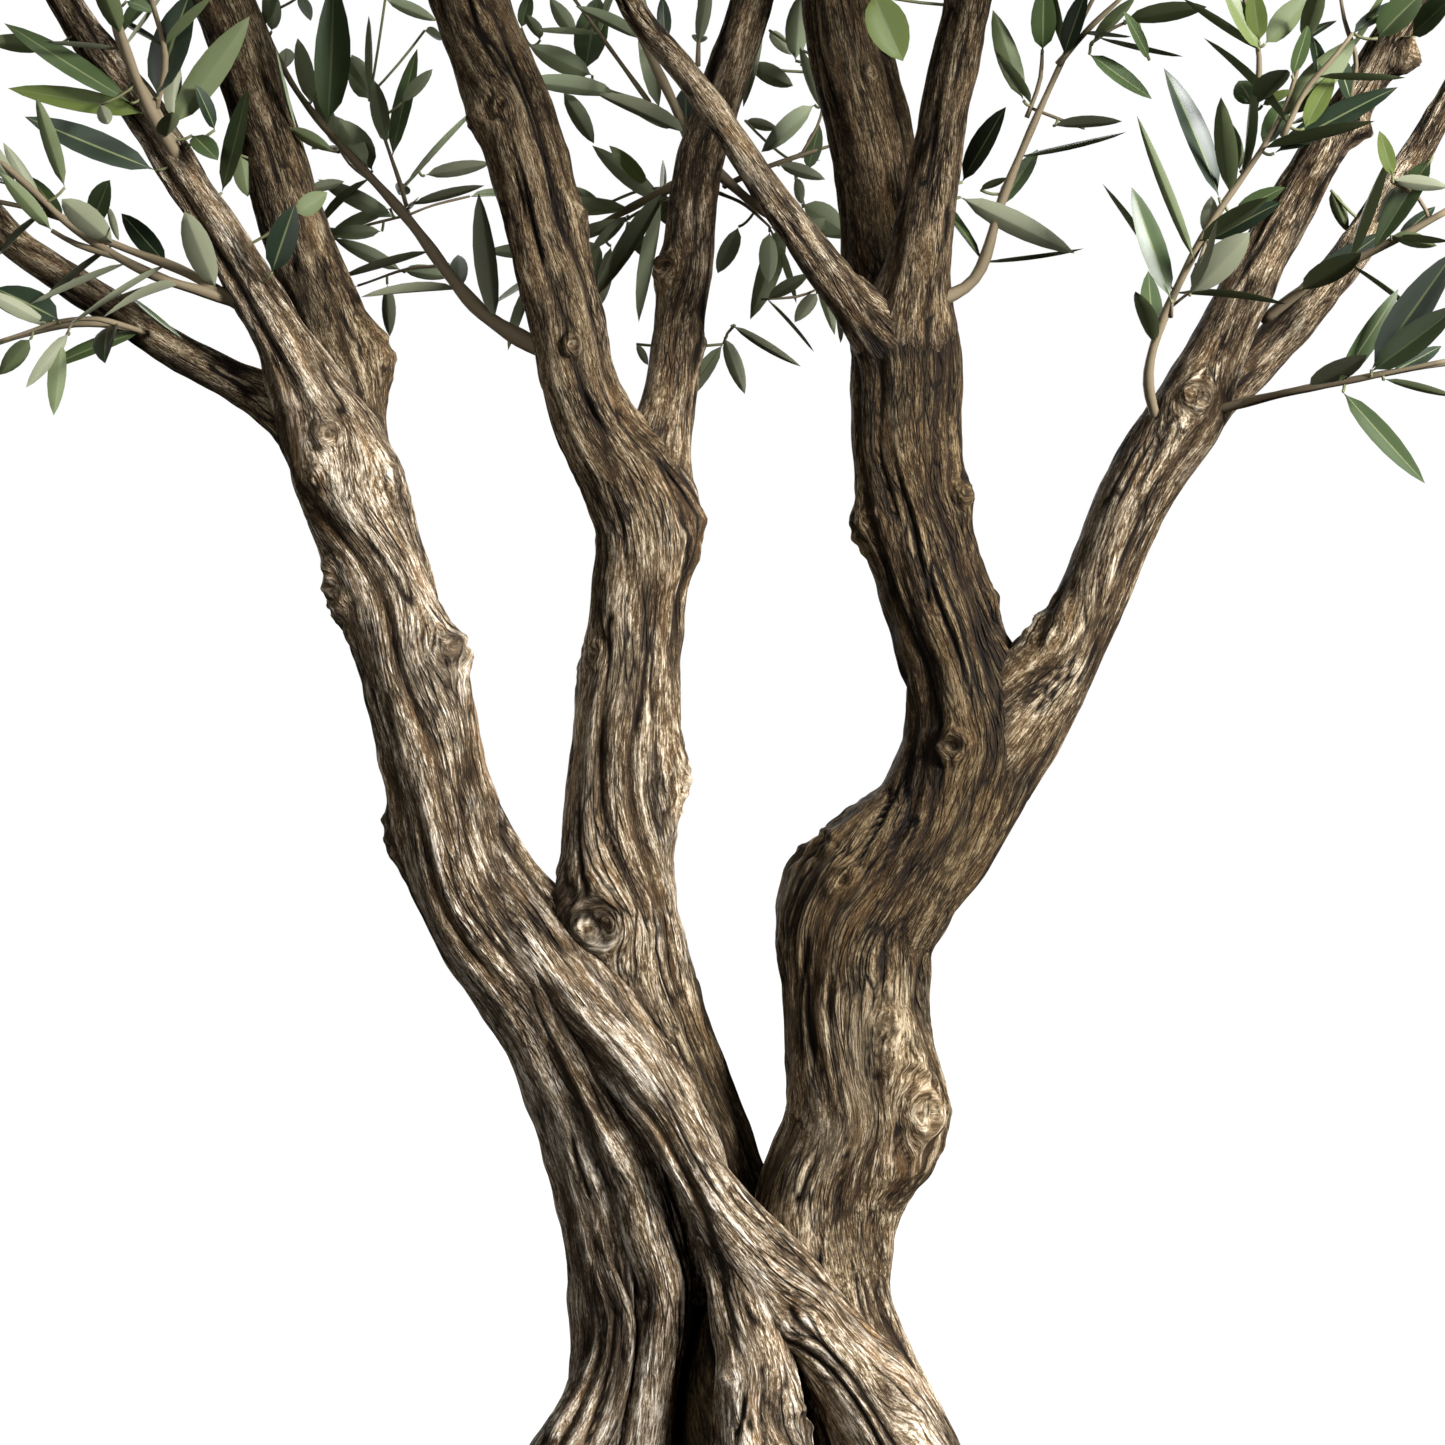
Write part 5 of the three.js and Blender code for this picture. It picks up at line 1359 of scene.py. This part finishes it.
def growMass(name, seed):
    # One mass: a stem on from the bough's tip through the centre, twigs round it, shoots round those
    look, limb, centre = foliage, axes[name], centres[name]
    root, heading = limb["centres"][-1], limb["along"][-1]
    inward = unit(centre - root)
    bendTo = unit(heading + (inward - heading) * look["stemTurn"])
    far = centre + inward * look["farShare"] * crown["reach"]
    far[2] += look["farLift"]
    foot = min(look["stemRadius"], limb["radii"][-1] * look["stemFoot"])
    bendRadius, midRadius = (foot * share for share in look["stemTaper"])
    points = [(*root, foot), (*(root + bendTo * look["stemRun"]), bendRadius), (*centre, midRadius),
              (*far, look["endRadius"])]
    rows, run = smoothPath(points, look["stemStep"])
    stem = {"paths": rows[None, :, :3], "radii": rows[None, :, 3], "lengths": run[-1:]}
    count = look["twigs"]
    k = np.arange(count)
    upStem = k / (count - 1)
    shares, angles = evenly(look["twigPlace"], upStem), evenly(look["twigAngle"], upStem)
    least, more = look["twigVary"]
    lengths = crown["reach"] * evenly(look["twigLength"], upStem) * (least + more * vary(seed, k))
    found = offshoots(stem, shares[None], angles[None], lengths[None], (k * goldenTurn + seed)[None])
    twigs = makeTwigs(*fitted(*found, name), look["twigRadius"], look["endRadius"], seed)
    many = len(twigs["lengths"])
    place = np.linspace(*look["shootPlace"], look["shoots"])[None, :] + 0 * twigs["lengths"][:, None]
    number = np.arange(look["shoots"])[None, :] + 10 * np.arange(many)[:, None]
    least, more = look["shootVary"]
    lengths = twigs["lengths"][:, None] * evenly(look["shootLength"], place)
    lengths = lengths * (least + more * vary(seed + 4, number))
    angle = look["shootAngle"] * (least + more * vary(seed + 6, number))
    found = offshoots(twigs, place, angle, lengths, number * goldenTurn + vary(seed, 3) * 6)
    shoots = makeTwigs(*fitted(*found, name), look["shootRadius"], look["endRadius"], seed + 1, 5)
    leaves = []
    for kind, part in enumerate((stem, twigs, shoots)):
        found = leavesOn(part, seed + 20 * kind, leafSizes["every"])
        found[5] = found[5] + 100 * kind + 1000 * seed
        reach = found[1] * found[3][:, None]
        keep = inSpace(found[0] + reach, name) & inSpace(found[0] + reach * 0.5, name)
        leaves.append([v[keep] for v in found])
    return [twigSurface(part, 4) for part in (stem, twigs, shoots)], leaves


leafTriangles, leafLimit = 40, 190000  # of one leaf, and the most in one piece
allTubes, group, groupNodes, groups = [], [], [], []
massNodes = [name.replace("bough", "foliage") for name in centres]
for seed, (name, massNode) in enumerate(zip(centres, massNodes)):
    tubes, leaves = growMass(name, seed)
    if group and leafTriangles * sum(len(batch[0]) for batch in group + leaves) > leafLimit:
        groups.append((group, groupNodes))
        group, groupNodes = [], []
    allTubes += tubes
    group = group + leaves
    groupNodes = groupNodes + [massNode]
groups.append((group, groupNodes))
half = len(massNodes) // 2
twigPiece("low_twigs", allTubes[:3 * half], massNodes[:half])
twigPiece("high_twigs", allTubes[3 * half:], massNodes[half:])
for number, (batches, nodes) in enumerate(groups):
    leafPiece(f"crown_leaves_{number + 1}", batches, False, nodes)
print("crown done")


# The sprays, with the leaves and twigs that are placed one by one

sprayLook = {
    "step": 7, "uneven": 0.1, "unevenRun": 6, "every": 30, "room": 4, "leafy": 0.55, "lowest": 600,
    "farDepth": 50, "stalkReach": 120, "stalkSag": 6, "stalkRadius": 0.85,
    "tipIn": 30, "tipSpread": 44, "facing": 0.9, "upward": (0.25, 0.6), "bend": (0.35, 0.6),
}


def placedBatch(rows):
    # Leaves given one by one: their upper side, or for the paler shades their underside, faces the camera
    look = sprayLook
    x0, z0, x1, z1, y, broad, shade = np.array(rows, float).T
    count = np.arange(len(rows))
    roots = np.stack([x0, y, z0], axis=1)
    tips = np.stack([x1, y - look["tipIn"] + look["tipSpread"] * vary(31, count), z1], axis=1)
    size = np.linalg.norm(tips - roots, axis=1)
    facing = np.where(shade < 3, -1.0, 1.0)
    up = np.stack([look["facing"] * (vary(32, count) - 0.5), facing,
                   look["upward"][0] + look["upward"][1] * vary(33, count)], axis=1)
    random = look["bend"][0] + look["bend"][1] * vary(34, count)
    return [roots, unit(tips - roots), up, size, random, count, broad, shade.astype(int)]


def nearestOn(points, samples):
    # The nearest of the samples to each point
    far = ((points[:, None] - samples[None])**2).sum(-1)
    return samples[far.argmin(axis=1)]


def tapered(path, first, last):
    # A path whose radius runs evenly from its first to its last
    return [(*p, first + (last - first) * k / (len(path) - 1)) for k, p in enumerate(path)]


# Twigs of the sprays, each with its own few leaves, and a stalk from every placed leaf to the nearest twig
sprayTubes, sprayLeaves, samples = [], [placedBatch(placedLeaves)], []
twigPaths = [tapered(spray["path"], spray["radius"], foliage["endRadius"]) for spray in sprays.values()]
twigPaths += [tapered(path, first, last) for first, last, path in placedTwigs]
for seed, points in enumerate(twigPaths):
    rows, run = smoothPath(points, sprayLook["step"])
    rows[:, 3] = rows[:, 3] * (1 + sprayLook["uneven"] * np.sin(run / sprayLook["unevenRun"] + seed))
    twig = {"paths": rows[None, :, :3], "radii": rows[None, :, 3], "lengths": run[-1:]}
    sprayTubes.append(twigSurface(twig, 6))
    samples.append(rows[:, :3])
    found = leavesOn(twig, seed + 60, sprayLook["every"])
    found[5] = found[5] + 7000 + 100 * seed
    reach = found[1] * found[3][:, None]
    tips = found[0] + reach
    keep = clearOfLimbs(tips, sprayLook["room"]) & clearOfLimbs(found[0] + reach * 0.5, sprayLook["room"])
    keep &= (vary(seed, np.arange(len(keep))) < sprayLook["leafy"]) & (tips[:, 2] > sprayLook["lowest"])
    found = [v[keep] for v in found]
    broad = found[3] * leafSizes["slim"]
    shade = np.where(vary(seed, found[5] + found[3]) < 0.5, 0, 1)
    # Leaves far in the tree get the pale colour as painted light
    shade = np.where(found[0][:, 1] > sprayLook["farDepth"], dealing["paleAndPaintedLight"], shade)
    sprayLeaves.append([*found, broad, shade])
roots = sprayLeaves[0][0]
held = nearestOn(roots, np.vstack(samples + [limb["centres"] for limb in axes.values()]))
near = np.linalg.norm(held - roots, axis=1) < sprayLook["stalkReach"]
roots, held = roots[near, None], held[near, None]
u = np.linspace(0, 1, 5)[None, :, None]
stalks = held + (roots - held) * u - np.array([0, 0, sprayLook["stalkSag"]]) * (u * (1 - u))
stalks = {"paths": stalks, "radii": sprayLook["stalkRadius"] + 0 * stalks[..., 0]}
twigPiece("spray_twigs", sprayTubes, list(sprays))
twigPiece("spray_stalks", [twigSurface(stalks, 4)], list(sprays), 1)
leafPiece("spray_leaves", sprayLeaves, True, list(sprays))
print("sprays done")


# The studio: a wide pale floor, a pale sky and soft lamps

studio = {
    "sky": (1.0, 1.0, 1.0), "skyStrength": 1.0, "floorHalf": 40000, "floorColour": 0.06, "floorGlow": 1.0,
    "lamps": {  # place and aim in metres, size in metres, power in watts
        "key": {"at": (2.3, -1.7, 1.35), "aim": (0, 0, 0.45), "size": 0.9, "power": 285},
        "fill": {"at": (-1.6, -2.6, 0.8), "aim": (0, 0, 0.5), "size": 2.0, "power": 34},
        "top": {"at": (0.3, -0.4, 3.6), "aim": (0, 0, 1.0), "size": 2.5, "power": 75},
        "back": {"at": (-0.8, 3.2, 1.6), "aim": (0, 0, 1.0), "size": 2.5, "power": 120},
    },
}


def makeStudio(look):
    # The floor and the sky are seen, but throw no light on the tree: the lamps alone do
    half = look["floorHalf"]
    corners = np.array([(-half, -half, 0), (half, -half, 0), (half, half, 0), (-half, half, 0)], float)
    floor = bpy.data.objects.new("floor", makeMesh("floor", corners, [np.array([[0, 1, 2, 3]])]))
    bpy.context.collection.objects.link(floor)
    paper, _, shader = newMaterial("paper", Roughness=1.0, Specular_IOR_Level=0)
    shader.inputs["Base Color"].default_value = (*[look["floorColour"]] * 3, 1)
    shader.inputs["Emission Color"].default_value = (1, 1, 1, 1)
    shader.inputs["Emission Strength"].default_value = look["floorGlow"]
    floor.data.materials.append(paper)
    floor.visible_diffuse = False
    floor.visible_glossy = False
    world = bpy.data.worlds.new("sky")
    bpy.context.scene.world = world
    world.use_nodes = True
    world.cycles_visibility.diffuse = False
    world.cycles_visibility.glossy = False
    back = world.node_tree.nodes["Background"]
    back.inputs["Color"].default_value = (*look["sky"], 1)
    back.inputs["Strength"].default_value = look["skyStrength"]
    for name, lamp in look["lamps"].items():
        data = bpy.data.lights.new(name, "AREA")
        data.energy = lamp["power"]
        data.size = lamp["size"]
        light = bpy.data.objects.new(name, data)
        bpy.context.collection.objects.link(light)
        light.location = lamp["at"]
        away = np.array(lamp["at"]) - np.array(lamp["aim"])
        turn = math.atan2(away[0], -away[1])
        light.rotation_euler = (math.atan2(math.hypot(away[0], away[1]), away[2]), 0, turn)
    bpy.context.scene.view_settings.view_transform = "Standard"
    bpy.context.scene.view_settings.look = "None"


makeStudio(studio)
print("studio done")
